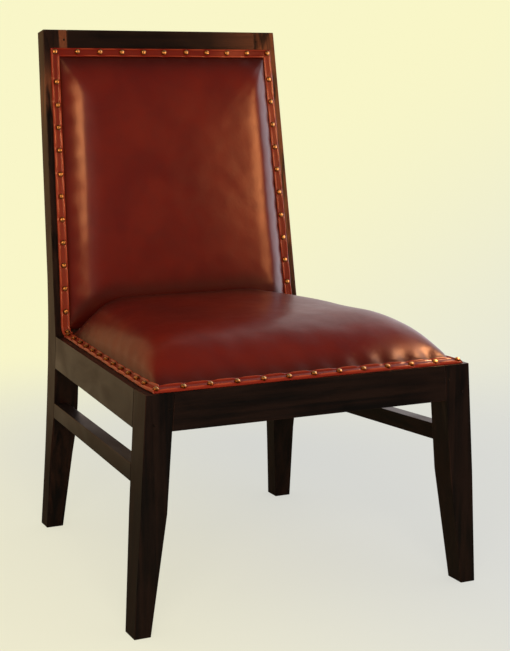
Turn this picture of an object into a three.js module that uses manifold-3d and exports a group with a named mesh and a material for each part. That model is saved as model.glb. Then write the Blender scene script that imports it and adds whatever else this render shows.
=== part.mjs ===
// Upholstered parsons chair on a dark hardwood frame. Millimetres, +Z up, the sitter faces -Y.
// Inside the model, y counts back from the front face of the front apron and z up from the floor.
import * as THREE from "three";
import * as BufferGeometryUtils from "three/addons/utils/BufferGeometryUtils.js";
import Module from "manifold-3d";

// Overall sizes
const overall_height = 970;
const seat_frame_height = 393.5;
const seat_width_front = 589;
const seat_width_rear = 519;
const back_width_top = 484.5;
const post_front_at_seat = 572.5;
const back_rake = 82;

// Clearances between pieces
const fit_gap = 0.3;
const mortise_end_gap = 1;
const cut_overrun = 2;
const tenon_root = 3;

// Front legs
const leg_width_top = 47.5;
const leg_width_knee = 44.5;
const leg_width_foot = 28;
const leg_depth = 53;
const leg_foot_setback = 5;
const leg_foot_rear_taper = 6.5;
const leg_splay = 24.5;
const leg_knee_drop = 45;

// Rear posts, each one piece from foot to top
const post_width = 48;
const post_width_top = 46;
const post_width_foot = 33.5;
const post_depth_at_seat = 48;
const post_depth_foot = 38;
const post_depth_top = 36.5;
const post_depth_above_bend = 38;
const post_splay = 9.5;
const post_foot_kick = 60;
const post_knee_drop = 45;
const post_bend_height = 106;

// How far the post has kicked back on its way down, as shares of height and of the whole kick
const kick_height_shares = [0, 0.24, 0.42, 0.6, 0.8, 1];
const front_kick_shares = [1, 0.745, 0.548, 0.225, 0.085, 0];
const rear_kick_shares = [1, 0.667, 0.437, 0.257, 0.082, 0];
const bend_ring_shares = [0.25, 0.5, 0.75, 1];
const foot_rings = 6;
const kick_search_steps = 40;

// Aprons round the seat
const apron_height = 62;
const apron_thickness = 25;
const rear_apron_thickness = 22;
const rear_apron_setback = 3.5;

// Side stretchers, which rise a little towards the front
const stretcher_height = 29;
const stretcher_thickness = 26;
const stretcher_drop_front = 57.5;
const stretcher_drop_rear = 70;

// Rails of the back
const top_rail_height = 70;
const low_rail_height = 60;
const low_rail_lift = 12;
const rail_thickness = 28;

// Tenons, all blind
const tenon_thickness_share = 0.4;
const tenon_edge_inset = 8;
const stretcher_tenon_inset = 5;
const stretcher_tenon_length = 22;
const post_tenon_length = 24;
const rail_tenon_length = 30;
const tenon_end_wall = 8;
const tenon_wall_between = 6;

// Pegs through the joints, seen as dark dots on the front faces
const peg_radius = 2;
const peg_past_tenon = 4;
const upper_peg_from_shoulder = 7.5;
const lower_peg_from_shoulder = 35;
const upper_peg_below_top = 26.5;
const lower_peg_below_top = 49;
const rail_peg_from_shoulder = 6;
const rail_peg_below_top = 19;
const peg_sides = 10;

// Corner blocks and screws
const block_height = 40;
const block_face_length = 40;
const block_clearance = 3;
const screw_radius = 2;
const screw_head_radius = 4;
const screw_head_height = 2.4;
const screw_bite = 18;
const board_screw_bite = 8;
const board_screw_offset = 20;
const screw_sink = 1;
const screw_sides = 8;

// Seat board and back board
const seat_board_thickness = 12;
const back_board_thickness = 9;

// Leather, its nailed edge and the wadding under it
const leather_thickness = 1.6;
const band_width = 17;
const side_reveal = 12;
const front_reveal = 0.5;
const top_reveal = 35;
const band_edge_height = 2.4;
const band_channel_height = 1.4;
const band_outline_shares = [
  [0, 0.5],
  [0.18, 1],
  [0.5, 0],
  [0.82, 1],
  [1, 0.5],
];
const band_mitre_gap = 0.45;
const seat_band_front_rise = 6;
const seat_band_rear_rise = 2;
const seat_band_twist_end = 200;

// Seat cushion
const seat_crown = 76;
const seat_side_roll = 110;
const seat_front_roll = 190;
const seat_rear_fall = 6.5;
const seat_overreach = 15;
const seat_side_power = 2.4;
const seat_side_fullness = 0.36;
const seat_corner_fullness = 0.7;
const seat_corner_power = 4;
const seat_front_power = 2.4;
const seat_front_fullness = 1;
const cushion_gap = 1.2;
const cushion_edge_share = 1.5;

// Back cushion
const back_pad_thickness = 36;
const back_pad_crown = 6;
const back_side_roll = 48;
const back_top_roll = 52;
const back_low_roll = 60;
const back_power = 2.3;
const back_fullness = 0.85;
const back_flap = 8;
const roll_shares = [0.02, 0.06, 0.16, 0.32, 0.56, 1];
const middle_steps = 5;
const length_steps = 6;

// Outside back
const outside_board_thickness = 4;
const outside_top_margin = 22;
const outside_low_margin = 16;
const outside_chamfer = 1.2;
const outside_side_gap = 1;

// Brass nails
const nail_radius = 4.75;
const nail_height = 3;
const nail_shank_radius = 1;
const nail_shank_length = 12;
const nail_sides = 8;
const nail_dome_shares = [
  [0.9, 0.5],
  [0.6, 0.86],
];
const nail_sink = 0.8;
const nail_end_margin = 7;
const front_nail_gaps = 12;
const side_nail_gaps = 11;
const top_nail_gaps = 10;
const back_side_nail_gaps = 12;

// Sizes that follow from the ones above
const front_half = seat_width_front / 2;
const rear_half = seat_width_rear / 2;
const top_half = back_width_top / 2;
const back_rise = overall_height - seat_frame_height;
const rake_angle = Math.atan2(back_rake, back_rise);
const stile_length = Math.hypot(back_rake, back_rise);
const overall_depth = post_front_at_seat + back_rake + post_depth_top * Math.cos(rake_angle);
const apron_low = seat_frame_height - apron_height;
const stretcher_top_front = apron_low - stretcher_drop_front;
const stretcher_top_rear = apron_low - stretcher_drop_rear;
const leg_knee_height = stretcher_top_front - stretcher_height - leg_knee_drop;
const post_knee_height = stretcher_top_rear - stretcher_height - post_knee_drop;
const rear_apron_back = post_front_at_seat + post_depth_at_seat - rear_apron_setback;
const rear_apron_front = rear_apron_back - rear_apron_thickness;
const board_low = seat_frame_height - seat_board_thickness;
const block_top = board_low - fit_gap;
const leather_base = seat_frame_height + fit_gap;
const band_base = leather_base + leather_thickness + fit_gap;
const tenon_thickness = apron_thickness * tenon_thickness_share;
const seat_band_top = band_base + band_edge_height + seat_band_rear_rise;
const seat_pad_front = front_reveal + band_width + fit_gap;
const back_low_edge = (seat_band_top - seat_frame_height) / Math.cos(rake_angle) + cushion_gap;
const back_top_edge = stile_length - top_reveal;
const back_pad_top = back_top_edge - band_width - fit_gap;
const back_pad_low = back_low_edge + back_flap;
const back_band_base = fit_gap + leather_thickness + fit_gap;
const outside_front = rail_thickness + fit_gap;
const full_width = [-seat_width_front - seat_width_rear, seat_width_front + seat_width_rear];
const full_depth = [-overall_depth, overall_depth];

const wasm = await Module();
wasm.setup();

// Colours and gloss of each material
const wood = new THREE.MeshStandardMaterial({ color: 0x241a17, roughness: 0.42, metalness: 0 });
const peg_wood = new THREE.MeshStandardMaterial({ color: 0x120c0a, roughness: 0.6, metalness: 0 });
const plywood = new THREE.MeshStandardMaterial({ color: 0xa98a62, roughness: 0.8, metalness: 0 });
const foam = new THREE.MeshStandardMaterial({ color: 0xd9cda6, roughness: 0.95, metalness: 0 });
const leather = new THREE.MeshStandardMaterial({ color: 0x5e1a10, roughness: 0.32, metalness: 0 });
const band_leather = new THREE.MeshStandardMaterial({ color: 0x7a2412, roughness: 0.38, metalness: 0 });
const steel = new THREE.MeshStandardMaterial({ color: 0x9a9a98, roughness: 0.4, metalness: 1 });
const brass = new THREE.MeshStandardMaterial({ color: 0xc08a3c, roughness: 0.3, metalness: 1 });

function mix(from, to, share) {
  return from + (to - from) * share;
}

function point(x, y, z) {
  return new THREE.Vector3(x, y, z);
}

// Closed geometry from points and index triples, turned so that its faces point out
function closed_geometry(points, faces) {
  let volume = 0;
  for (let i = 0; i < faces.length; i += 3) {
    const [a, b, c] = [points[faces[i]], points[faces[i + 1]], points[faces[i + 2]]];
    volume += a.dot(b.clone().cross(c));
  }
  const turned = volume < 0 ? faces.slice().reverse() : faces;
  const geometry = new THREE.BufferGeometry().setFromPoints(points);
  geometry.setIndex(turned);
  geometry.computeVertexNormals();
  return geometry;
}

// Skin over a row of like rings, closed at both ends
function loft(rings) {
  const count = rings[0].length;
  const last = (rings.length - 1) * count;
  const faces = [];
  for (let k = 0; k + 1 < rings.length; k++) {
    for (let i = 0; i < count; i++) {
      const a = k * count + i;
      const b = k * count + ((i + 1) % count);
      faces.push(a, b, b + count, a, b + count, a + count);
    }
  }
  for (let i = 1; i + 1 < count; i++) {
    faces.push(0, i + 1, i);
    faces.push(last, last + i, last + i + 1);
  }
  return closed_geometry(rings.flat(), faces);
}

// A solid that can be joined and cut
function solid_of(geometry) {
  const bare = geometry.clone();
  bare.deleteAttribute("normal");
  bare.deleteAttribute("uv");
  const merged = BufferGeometryUtils.mergeVertices(bare);
  const vertProperties = new Float32Array(merged.attributes.position.array);
  const triVerts = new Uint32Array(merged.index.array);
  return new wasm.Manifold(new wasm.Mesh({ numProp: 3, vertProperties, triVerts }));
}

function geometry_of(solid) {
  const result = solid.getMesh();
  const geometry = new THREE.BufferGeometry();
  geometry.setAttribute("position", new THREE.BufferAttribute(result.vertProperties, 3));
  geometry.setIndex(new THREE.BufferAttribute(result.triVerts, 1));
  geometry.computeVertexNormals();
  return geometry;
}

function cut(geometry, cutters) {
  let solid = solid_of(geometry);
  for (const cutter of cutters) {
    solid = solid.subtract(solid_of(cutter));
  }
  return geometry_of(solid);
}

function join(geometries) {
  let solid = solid_of(geometries[0]);
  for (const piece of geometries.slice(1)) {
    solid = solid.add(solid_of(piece));
  }
  return geometry_of(solid);
}

// Box between two corners given as ranges, and the same box grown for a mortise
function box(x, y, z) {
  const size = [x[1] - x[0], y[1] - y[0], z[1] - z[0]];
  const geometry = new THREE.BoxGeometry(...size.map(Math.abs));
  geometry.translate((x[0] + x[1]) / 2, (y[0] + y[1]) / 2, (z[0] + z[1]) / 2);
  return geometry;
}

function grown(range, clearance) {
  const low = Math.min(...range) - clearance;
  return [low, Math.max(...range) + clearance];
}

function mortise(tenon) {
  const grow = [fit_gap, fit_gap, fit_gap];
  grow[tenon.along] = mortise_end_gap;
  const ranges = [tenon.x, tenon.y, tenon.z].map((range, axis) => grown(range, grow[axis]));
  return box(...ranges);
}

function tenon_box(tenon) {
  return box(tenon.x, tenon.y, tenon.z);
}

// Round bar from one point to another
function bar(from, to, radius, sides) {
  const line = to.clone().sub(from);
  const geometry = new THREE.CylinderGeometry(radius, radius, line.length(), sides);
  const turn = new THREE.Quaternion().setFromUnitVectors(point(0, 1, 0), line.clone().normalize());
  geometry.applyQuaternion(turn);
  geometry.translate(...from.clone().add(to).divideScalar(2).toArray());
  return geometry;
}

// Countersunk screw with its head's outer face at one point and its tip at another
function screw(head, tip, growth) {
  const line = tip.clone().sub(head);
  const length = line.length() + growth;
  const profile = [
    new THREE.Vector2(0, 0),
    new THREE.Vector2(screw_head_radius + growth, 0),
    new THREE.Vector2(screw_radius + growth, screw_head_height),
    new THREE.Vector2(screw_radius + growth, length - screw_radius),
    new THREE.Vector2(0, length),
  ];
  const geometry = new THREE.LatheGeometry(profile, screw_sides);
  const turn = new THREE.Quaternion().setFromUnitVectors(point(0, 1, 0), line.normalize());
  geometry.applyQuaternion(turn);
  geometry.translate(...head.toArray());
  return closed_lathe(geometry);
}

// Lathe faces follow the profile's direction, so they are turned where they point in
function closed_lathe(geometry) {
  const bare = geometry.clone();
  bare.deleteAttribute("normal");
  bare.deleteAttribute("uv");
  const merged = BufferGeometryUtils.mergeVertices(bare);
  const position = merged.attributes.position;
  const points = [];
  for (let i = 0; i < position.count; i++) {
    points.push(new THREE.Vector3().fromBufferAttribute(position, i));
  }
  const faces = [];
  const index = merged.index.array;
  for (let i = 0; i < index.length; i += 3) {
    const [a, b, c] = [index[i], index[i + 1], index[i + 2]];
    if (a !== b && b !== c && c !== a) {
      faces.push(a, b, c);
    }
  }
  return closed_geometry(points, faces);
}

// Outside face and width of the front leg at a height
function leg_outer(z) {
  return front_half + leg_splay * (1 - z / seat_frame_height);
}

function leg_width(z) {
  if (z < leg_knee_height) {
    return mix(leg_width_foot, leg_width_knee, z / leg_knee_height);
  }
  const share = (z - leg_knee_height) / (seat_frame_height - leg_knee_height);
  return mix(leg_width_knee, leg_width_top, share);
}

function leg_inner(z) {
  return leg_outer(z) - leg_width(z);
}

// Outside face and width of the rear post at a height
function post_outer(z) {
  if (z < seat_frame_height) {
    return rear_half + post_splay * (1 - z / seat_frame_height);
  }
  return mix(rear_half, top_half, (z - seat_frame_height) / back_rise);
}

function post_wide(z) {
  if (z < post_knee_height) {
    return mix(post_width_foot, post_width, z / post_knee_height);
  }
  if (z < seat_frame_height) {
    return post_width;
  }
  return mix(post_width, post_width_top, (z - seat_frame_height) / back_rise);
}

function post_inner(z) {
  return post_outer(z) - post_wide(z);
}

// Smooth line through the kick shares, read off at a share of the seat frame's height
function kick_line(kick_shares) {
  return new THREE.SplineCurve(kick_height_shares.map((h, i) => new THREE.Vector2(h, kick_shares[i])));
}

const front_kick_line = kick_line(front_kick_shares);
const rear_kick_line = kick_line(rear_kick_shares);

function kick_at(line, height_share) {
  let [low, high] = [0, 1];
  for (let step = 0; step < kick_search_steps; step++) {
    const middle = (low + high) / 2;
    if (line.getPoint(middle).x < height_share) {
      low = middle;
    } else {
      high = middle;
    }
  }
  return line.getPoint(low).y;
}

function post_front(z) {
  if (z < seat_frame_height) {
    return post_front_at_seat + post_foot_kick * kick_at(front_kick_line, z / seat_frame_height);
  }
  return post_front_at_seat + (z - seat_frame_height) * Math.tan(rake_angle);
}

function post_rear_low(z) {
  const kick = post_foot_kick + post_depth_foot - post_depth_at_seat;
  const share = kick_at(rear_kick_line, z / seat_frame_height);
  return post_front_at_seat + post_depth_at_seat + kick * share;
}

// Section of a leg or post on the left (side -1) or right (side 1)
function ring_of(side, outer, inner, front, rear, z_front, z_rear) {
  return [
    point(side * outer(z_front), front, z_front),
    point(side * inner(z_front), front, z_front),
    point(side * inner(z_rear), rear, z_rear),
    point(side * outer(z_rear), rear, z_rear),
  ];
}

// Rear post: rings up to the seat, round the bend and square across the raked top
function rear_post_blank(side) {
  const rings = [];
  const add = (z, rear) => {
    rings.push(ring_of(side, post_outer, post_inner, post_front(z), rear, z, z));
  };
  const stretcher_low = stretcher_top_rear - stretcher_height;
  for (let k = 0; k <= foot_rings; k++) {
    const z = (stretcher_low * k) / foot_rings;
    add(z, post_rear_low(z));
  }
  for (const z of [stretcher_top_rear, apron_low, seat_frame_height]) {
    add(z, post_rear_low(z));
  }
  const bend = post_bend();
  for (const share of bend_ring_shares) {
    const at = bend.getPoint(share);
    add(at.y, at.x);
  }
  const top_drop = post_depth_top * Math.sin(rake_angle);
  const front_top = post_front(overall_height);
  const z_rear = overall_height - top_drop;
  const outer = () => post_outer(overall_height);
  const inner = () => post_inner(overall_height);
  rings.push(ring_of(side, outer, inner, front_top, overall_depth, overall_height, z_rear));
  return loft(rings);
}

// Rear face of the post from the seat joint into the rake, as depth against height
function post_bend() {
  const end_height = seat_frame_height + post_bend_height;
  const start = new THREE.Vector2(post_front_at_seat + post_depth_at_seat, seat_frame_height);
  const end = new THREE.Vector2(
    post_front(end_height) + post_depth_above_bend / Math.cos(rake_angle),
    end_height,
  );
  const middle = new THREE.Vector2(start.x, (start.y + end.y) / 2);
  return new THREE.QuadraticBezierCurve(start, middle, end);
}

// Front leg: square and flush with the aprons above the knee, tapered on three faces below it
function front_leg_blank(side) {
  const outer = leg_outer;
  const inner = leg_inner;
  const foot_rear = leg_depth - leg_foot_rear_taper;
  return loft([
    ring_of(side, outer, inner, leg_foot_setback, foot_rear, 0, 0),
    ring_of(side, outer, inner, 0, leg_depth, leg_knee_height, leg_knee_height),
    ring_of(side, outer, inner, 0, leg_depth, seat_frame_height, seat_frame_height),
  ]);
}

// Tenons, each with the axis that it slides along
function front_tenon(side) {
  const shoulder = leg_inner(seat_frame_height) - tenon_root;
  const tip = leg_outer(seat_frame_height) - tenon_end_wall;
  return {
    x: [side * shoulder, side * tip],
    y: [tenon_edge_inset, tenon_edge_inset + tenon_thickness],
    z: [apron_low + tenon_edge_inset, seat_frame_height - tenon_edge_inset],
    along: 0,
  };
}

function side_tenon_x(side, outer) {
  const outside = outer - tenon_edge_inset;
  return [side * outside, side * (outside - tenon_thickness)];
}

function side_tenon_front(side) {
  const end = tenon_edge_inset + tenon_thickness + tenon_wall_between;
  return {
    x: side_tenon_x(side, leg_outer(seat_frame_height)),
    y: [end, leg_depth + tenon_root],
    z: [apron_low + tenon_edge_inset, seat_frame_height - tenon_edge_inset],
    along: 1,
  };
}

function side_tenon_rear(side) {
  const shoulder = post_front(seat_frame_height);
  return {
    x: side_tenon_x(side, post_outer(seat_frame_height)),
    y: [shoulder - tenon_root, shoulder + post_tenon_length],
    z: [apron_low + tenon_edge_inset, seat_frame_height - tenon_edge_inset],
    along: 1,
  };
}

function rear_tenon(side) {
  const shoulder = post_inner(seat_frame_height) - tenon_root;
  const side_tenon_inner = Math.min(...side_tenon_rear(1).x);
  const middle = (rear_apron_front + rear_apron_back) / 2;
  return {
    x: [side * shoulder, side * (side_tenon_inner - tenon_wall_between)],
    y: [middle - tenon_thickness / 2, middle + tenon_thickness / 2],
    z: [apron_low + tenon_edge_inset, seat_frame_height - tenon_edge_inset],
    along: 0,
  };
}

function stretcher_tenon_front(side) {
  const low = stretcher_top_front - stretcher_height;
  const middle = leg_outer(stretcher_top_front) - stretcher_thickness / 2;
  return {
    x: [side * (middle - tenon_thickness / 2), side * (middle + tenon_thickness / 2)],
    y: [leg_depth - stretcher_tenon_length, leg_depth + tenon_root],
    z: [low + stretcher_tenon_inset, stretcher_top_front - stretcher_tenon_inset],
    along: 1,
  };
}

function stretcher_tenon_rear(side) {
  const low = stretcher_top_rear - stretcher_height;
  const middle = post_outer(stretcher_top_rear) - stretcher_thickness / 2;
  const shoulder = post_front(stretcher_top_rear);
  return {
    x: [side * (middle - tenon_thickness / 2), side * (middle + tenon_thickness / 2)],
    y: [shoulder - tenon_root, shoulder + stretcher_tenon_length],
    z: [low + stretcher_tenon_inset, stretcher_top_rear - stretcher_tenon_inset],
    along: 1,
  };
}

// Frame of the raked back: x across, y back from the front of the stiles, z up along them
const back_frame = new THREE.Matrix4()
  .makeRotationX(-rake_angle)
  .setPosition(0, post_front_at_seat, seat_frame_height);

function in_back_frame(geometry) {
  return geometry.clone().applyMatrix4(back_frame);
}

function height_of(along_stile) {
  return seat_frame_height + along_stile * Math.cos(rake_angle);
}

function stile_outer(along_stile) {
  return post_outer(height_of(along_stile));
}

function stile_inner(along_stile) {
  return post_inner(height_of(along_stile));
}

function rail_tenon(side, low, high) {
  const shoulder = stile_inner((low + high) / 2);
  const middle = rail_thickness / 2;
  return {
    x: [side * (shoulder - tenon_root), side * (shoulder + rail_tenon_length)],
    y: [middle - tenon_thickness / 2, middle + tenon_thickness / 2],
    z: [low + tenon_edge_inset, high - tenon_edge_inset],
    along: 0,
  };
}

function top_rail_tenon(side) {
  return rail_tenon(side, stile_length - top_rail_height, stile_length);
}

function low_rail_tenon(side) {
  return rail_tenon(side, low_rail_lift, low_rail_lift + low_rail_height);
}

// Pegs through the leg and the front apron's tenon, and through the stile and the top rail's
function leg_pegs(side, growth) {
  const end = tenon_edge_inset + tenon_thickness + peg_past_tenon;
  const at = (from_shoulder, below_top) => {
    const z = seat_frame_height - below_top;
    const x = side * (leg_inner(seat_frame_height) + from_shoulder);
    return bar(point(x, -growth, z), point(x, end + growth, z), peg_radius + growth, peg_sides);
  };
  return [
    at(upper_peg_from_shoulder, upper_peg_below_top),
    at(lower_peg_from_shoulder, lower_peg_below_top),
  ];
}

function rail_peg(side, growth) {
  const z = stile_length - rail_peg_below_top;
  const x = side * (stile_inner(stile_length) + rail_peg_from_shoulder);
  const end = (rail_thickness + tenon_thickness) / 2 + peg_past_tenon;
  return bar(point(x, -growth, z), point(x, end + growth, z), peg_radius + growth, peg_sides);
}

// Inner face of a side apron at seat height, and the outside line of the seat in plan
function seat_side_outer(y) {
  const share = (y - leg_depth) / (post_front_at_seat - leg_depth);
  return mix(front_half, rear_half, Math.max(share, 0));
}

function side_apron_inner(y) {
  return seat_side_outer(y) - apron_thickness - fit_gap;
}

// Corner block: a wedge across each corner of the seat frame, clear of the leg or post
function block_places(side, end) {
  const is_front = end === "front";
  const toward = is_front ? 1 : -1;
  const corner_x = is_front ? leg_inner(seat_frame_height) : post_inner(seat_frame_height);
  const corner_y = is_front ? leg_depth : post_front_at_seat;
  const apron_y = is_front ? apron_thickness + fit_gap : rear_apron_front - fit_gap;
  const offset = block_clearance * 2;
  const x_near = corner_x - offset + toward * (apron_y - corner_y);
  const y_near = corner_y + toward * (offset + side_apron_inner(corner_y) - corner_x);
  const y_far = y_near + toward * block_face_length;
  const plan = [
    new THREE.Vector2(side * x_near, apron_y),
    new THREE.Vector2(side * (x_near - block_face_length), apron_y),
    new THREE.Vector2(side * side_apron_inner(y_far), y_far),
    new THREE.Vector2(side * side_apron_inner(y_near), y_near),
  ];
  const low = block_top - block_height;
  const face = plan[1].clone().add(plan[2]).divideScalar(2);
  const corner = new THREE.Vector2(side * corner_x, corner_y);
  const drive = corner.clone().sub(face).normalize();
  const middle_height = (low + block_top) / 2;
  const head = face.clone().addScaledVector(drive, screw_sink);
  const tip = corner.clone().addScaledVector(drive, screw_bite);
  const along = plan[3].clone().sub(plan[0]).normalize();
  const center = plan[0].clone().add(plan[1]).add(plan[2]).add(plan[3]).divideScalar(plan.length);
  const board = center.addScaledVector(along, board_screw_offset);
  return {
    plan,
    low,
    mouth: point(face.x, face.y, middle_height).addScaledVector(
      point(drive.x, drive.y, 0),
      -cut_overrun,
    ),
    head: point(head.x, head.y, middle_height),
    tip: point(tip.x, tip.y, middle_height),
    board_mouth: point(board.x, board.y, low - cut_overrun),
    board_head: point(board.x, board.y, low + screw_sink),
    board_tip: point(board.x, board.y, board_low + board_screw_bite),
  };
}

function screw_bore(mouth, head, tip) {
  return [
    screw(head, tip, fit_gap),
    bar(mouth, head, screw_head_radius + fit_gap, screw_sides),
  ];
}

function corner_block(side, end) {
  const at = block_places(side, end);
  const ring = (z) => at.plan.map((corner) => point(corner.x, corner.y, z));
  const blank = loft([ring(at.low), ring(block_top)]);
  return cut(blank, [
    ...screw_bore(at.mouth, at.head, at.tip),
    ...screw_bore(at.board_mouth, at.board_head, at.board_tip),
  ]);
}

function corner_bore(side, end) {
  const at = block_places(side, end);
  return screw(at.head, at.tip, fit_gap);
}

// Frame pieces
function front_leg(side) {
  return cut(front_leg_blank(side), [
    mortise(front_tenon(side)),
    mortise(side_tenon_front(side)),
    mortise(stretcher_tenon_front(side)),
    corner_bore(side, "front"),
    corner_nail(side, "seat", fit_gap),
    ...leg_pegs(side, fit_gap),
  ]);
}

function rear_post(side) {
  return cut(rear_post_blank(side), [
    mortise(side_tenon_rear(side)),
    mortise(rear_tenon(side)),
    mortise(stretcher_tenon_rear(side)),
    corner_bore(side, "rear"),
    in_back_frame(mortise(top_rail_tenon(side))),
    in_back_frame(mortise(low_rail_tenon(side))),
    in_back_frame(rail_peg(side, fit_gap)),
    in_back_frame(corner_nail(side, "back", fit_gap)),
  ]);
}

// A rail across the chair, with its ends set off from the faces it meets
function cross_rail(inner_at, low, high, front, rear) {
  const ring = (side) => {
    const x_high = side * (inner_at(high) - fit_gap);
    const x_low = side * (inner_at(low) - fit_gap);
    return [
      point(x_high, front, high),
      point(x_high, rear, high),
      point(x_low, rear, low),
      point(x_low, front, low),
    ];
  };
  return loft([ring(-1), ring(1)]);
}

function front_apron() {
  const blank = cross_rail(leg_inner, apron_low, seat_frame_height, 0, apron_thickness);
  const whole = join([blank, tenon_box(front_tenon(-1)), tenon_box(front_tenon(1))]);
  return cut(whole, [...leg_pegs(-1, fit_gap), ...leg_pegs(1, fit_gap)]);
}

function rear_apron() {
  const blank = cross_rail(
    post_inner,
    apron_low,
    seat_frame_height,
    rear_apron_front,
    rear_apron_back,
  );
  return join([blank, tenon_box(rear_tenon(-1)), tenon_box(rear_tenon(1))]);
}

function top_rail() {
  const low = stile_length - top_rail_height;
  const blank = cross_rail(stile_inner, low, stile_length, 0, rail_thickness);
  const whole = join([blank, tenon_box(top_rail_tenon(-1)), tenon_box(top_rail_tenon(1))]);
  return cut(whole, [rail_peg(-1, fit_gap), rail_peg(1, fit_gap)]);
}

function low_rail() {
  const high = low_rail_lift + low_rail_height;
  const blank = cross_rail(stile_inner, low_rail_lift, high, 0, rail_thickness);
  return join([blank, tenon_box(low_rail_tenon(-1)), tenon_box(low_rail_tenon(1))]);
}

// A side piece between the front leg and the post, flush with both on the outside
function side_beam(side, top_front, top_rear, height, thickness) {
  const ring = (outer_at, y_at, top) => {
    const low = top - height;
    return [
      point(side * outer_at(top), y_at(top), top),
      point(side * (outer_at(top) - thickness), y_at(top), top),
      point(side * (outer_at(low) - thickness), y_at(low), low),
      point(side * outer_at(low), y_at(low), low),
    ];
  };
  const at_leg = () => leg_depth + fit_gap;
  const at_post = (z) => post_front(z) - fit_gap;
  return loft([ring(leg_outer, at_leg, top_front), ring(post_outer, at_post, top_rear)]);
}

function side_apron(side) {
  const top = seat_frame_height;
  const blank = side_beam(side, top, top, apron_height, apron_thickness);
  return join([blank, tenon_box(side_tenon_front(side)), tenon_box(side_tenon_rear(side))]);
}

function side_stretcher(side) {
  const blank = side_beam(
    side,
    stretcher_top_front,
    stretcher_top_rear,
    stretcher_height,
    stretcher_thickness,
  );
  const tenons = [stretcher_tenon_front(side), stretcher_tenon_rear(side)].map(tenon_box);
  return join([blank, ...tenons]);
}

// Plywood seat board, notched round the legs and reaching back between the posts
function seat_board() {
  const front = apron_thickness + fit_gap;
  const leg_x = leg_inner(seat_frame_height) - fit_gap;
  const leg_y = leg_depth + fit_gap;
  const post_x = post_inner(seat_frame_height) - fit_gap;
  const post_y = post_front_at_seat - fit_gap;
  const half = [
    [leg_x, front],
    [leg_x, leg_y],
    [side_apron_inner(leg_y), leg_y],
    [side_apron_inner(post_y), post_y],
    [post_x, post_y],
    [post_x, rear_apron_front - fit_gap],
  ];
  const other_half = half.map(([x, y]) => [-x, y]).reverse();
  const outline = new THREE.Shape([...half, ...other_half].map(([x, y]) => new THREE.Vector2(x, y)));
  const blank = new THREE.ExtrudeGeometry(outline, {
    depth: seat_board_thickness,
    bevelEnabled: false,
  });
  blank.translate(0, 0, board_low);
  const bores = [];
  for (const side of [-1, 1]) {
    for (const end of ["front", "rear"]) {
      const at = block_places(side, end);
      bores.push(screw(at.board_head, at.board_tip, fit_gap));
    }
  }
  return cut(blank, bores);
}

// Plywood board let in flush between the stiles and rails of the back
function back_board() {
  const low = low_rail_lift + low_rail_height + fit_gap;
  const high = stile_length - top_rail_height - fit_gap;
  return cross_rail(stile_inner, low, high, 0, back_board_thickness);
}

// Closed solid under a surface given as heights on a grid of rows and columns, with a flat base
function padded_solid(rows, columns_at, height_at, base, place) {
  const top = [];
  const under = [];
  for (const v of rows) {
    for (const u of columns_at(v)) {
      top.push(place(u, v, height_at(u, v)));
      under.push(place(u, v, base));
    }
  }
  const across = columns_at(rows[0]).length;
  const count = top.length;
  const faces = [];
  for (let k = 0; k + 1 < rows.length; k++) {
    for (let i = 0; i + 1 < across; i++) {
      const a = k * across + i;
      const [b, c, d] = [a + 1, a + across + 1, a + across];
      faces.push(a, b, c, a, c, d);
      faces.push(a + count, c + count, b + count, a + count, d + count, c + count);
    }
  }
  const edge = [];
  for (let i = 0; i < across; i++) edge.push(i);
  for (let k = 1; k < rows.length; k++) edge.push(k * across + across - 1);
  for (let i = across - 2; i >= 0; i--) edge.push((rows.length - 1) * across + i);
  for (let k = rows.length - 2; k > 0; k--) edge.push(k * across);
  edge.forEach((p, i) => {
    const q = edge[(i + 1) % edge.length];
    faces.push(q, p, p + count, q, p + count, q + count);
  });
  return closed_geometry([...top, ...under], faces);
}

// Share of the full height at a distance in from the edge of a cushion
function roll_height(distance, roll, power, fullness) {
  const share = Math.min(Math.max(distance / roll, 0), 1);
  return (1 - (1 - share) ** power) ** fullness;
}

// Places from a cushion's edge to its middle, closer together where it rolls over
function roll_places(edge, roll) {
  return [edge, ...roll_shares.map((share) => edge + roll * share)];
}

function columns_between(half, roll, outline) {
  const left = roll_places(-half, roll);
  const last = left[left.length - 1];
  const middle = [];
  for (let i = 1; i < middle_steps; i++) {
    middle.push(mix(last, -last, i / middle_steps));
  }
  const right = left.map((x) => -x).reverse();
  return [...outline.map((x) => -x), ...left, ...middle, ...right, ...outline.slice().reverse()];
}

function rows_between(from, to) {
  const rows = [];
  for (let i = 1; i <= length_steps; i++) {
    rows.push(mix(from, to, i / length_steps));
  }
  return rows;
}

// Half width of the seat leather and of its cushion between the nailed bands
function seat_leather_half(y) {
  return seat_side_outer(y) - side_reveal;
}

function seat_pad_half(y) {
  return seat_leather_half(y) - band_width - fit_gap;
}

// Top of the seat leather, or of what lies a given depth under it
function seat_height(x, y, depth) {
  const from_side = seat_pad_half(y) - Math.abs(x) - depth;
  const from_front = y - seat_pad_front - depth;
  const back_share = y / post_front_at_seat;
  const corner_share = Math.max(back_share, 0) ** seat_corner_power;
  const fullness = mix(seat_side_fullness, seat_corner_fullness, corner_share);
  const across = roll_height(from_side, seat_side_roll, seat_side_power, fullness);
  const along = roll_height(from_front, seat_front_roll, seat_front_power, seat_front_fullness);
  const crown = seat_crown - seat_rear_fall * back_share * back_share;
  return leather_base + leather_thickness - depth + crown * across * along;
}

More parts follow.
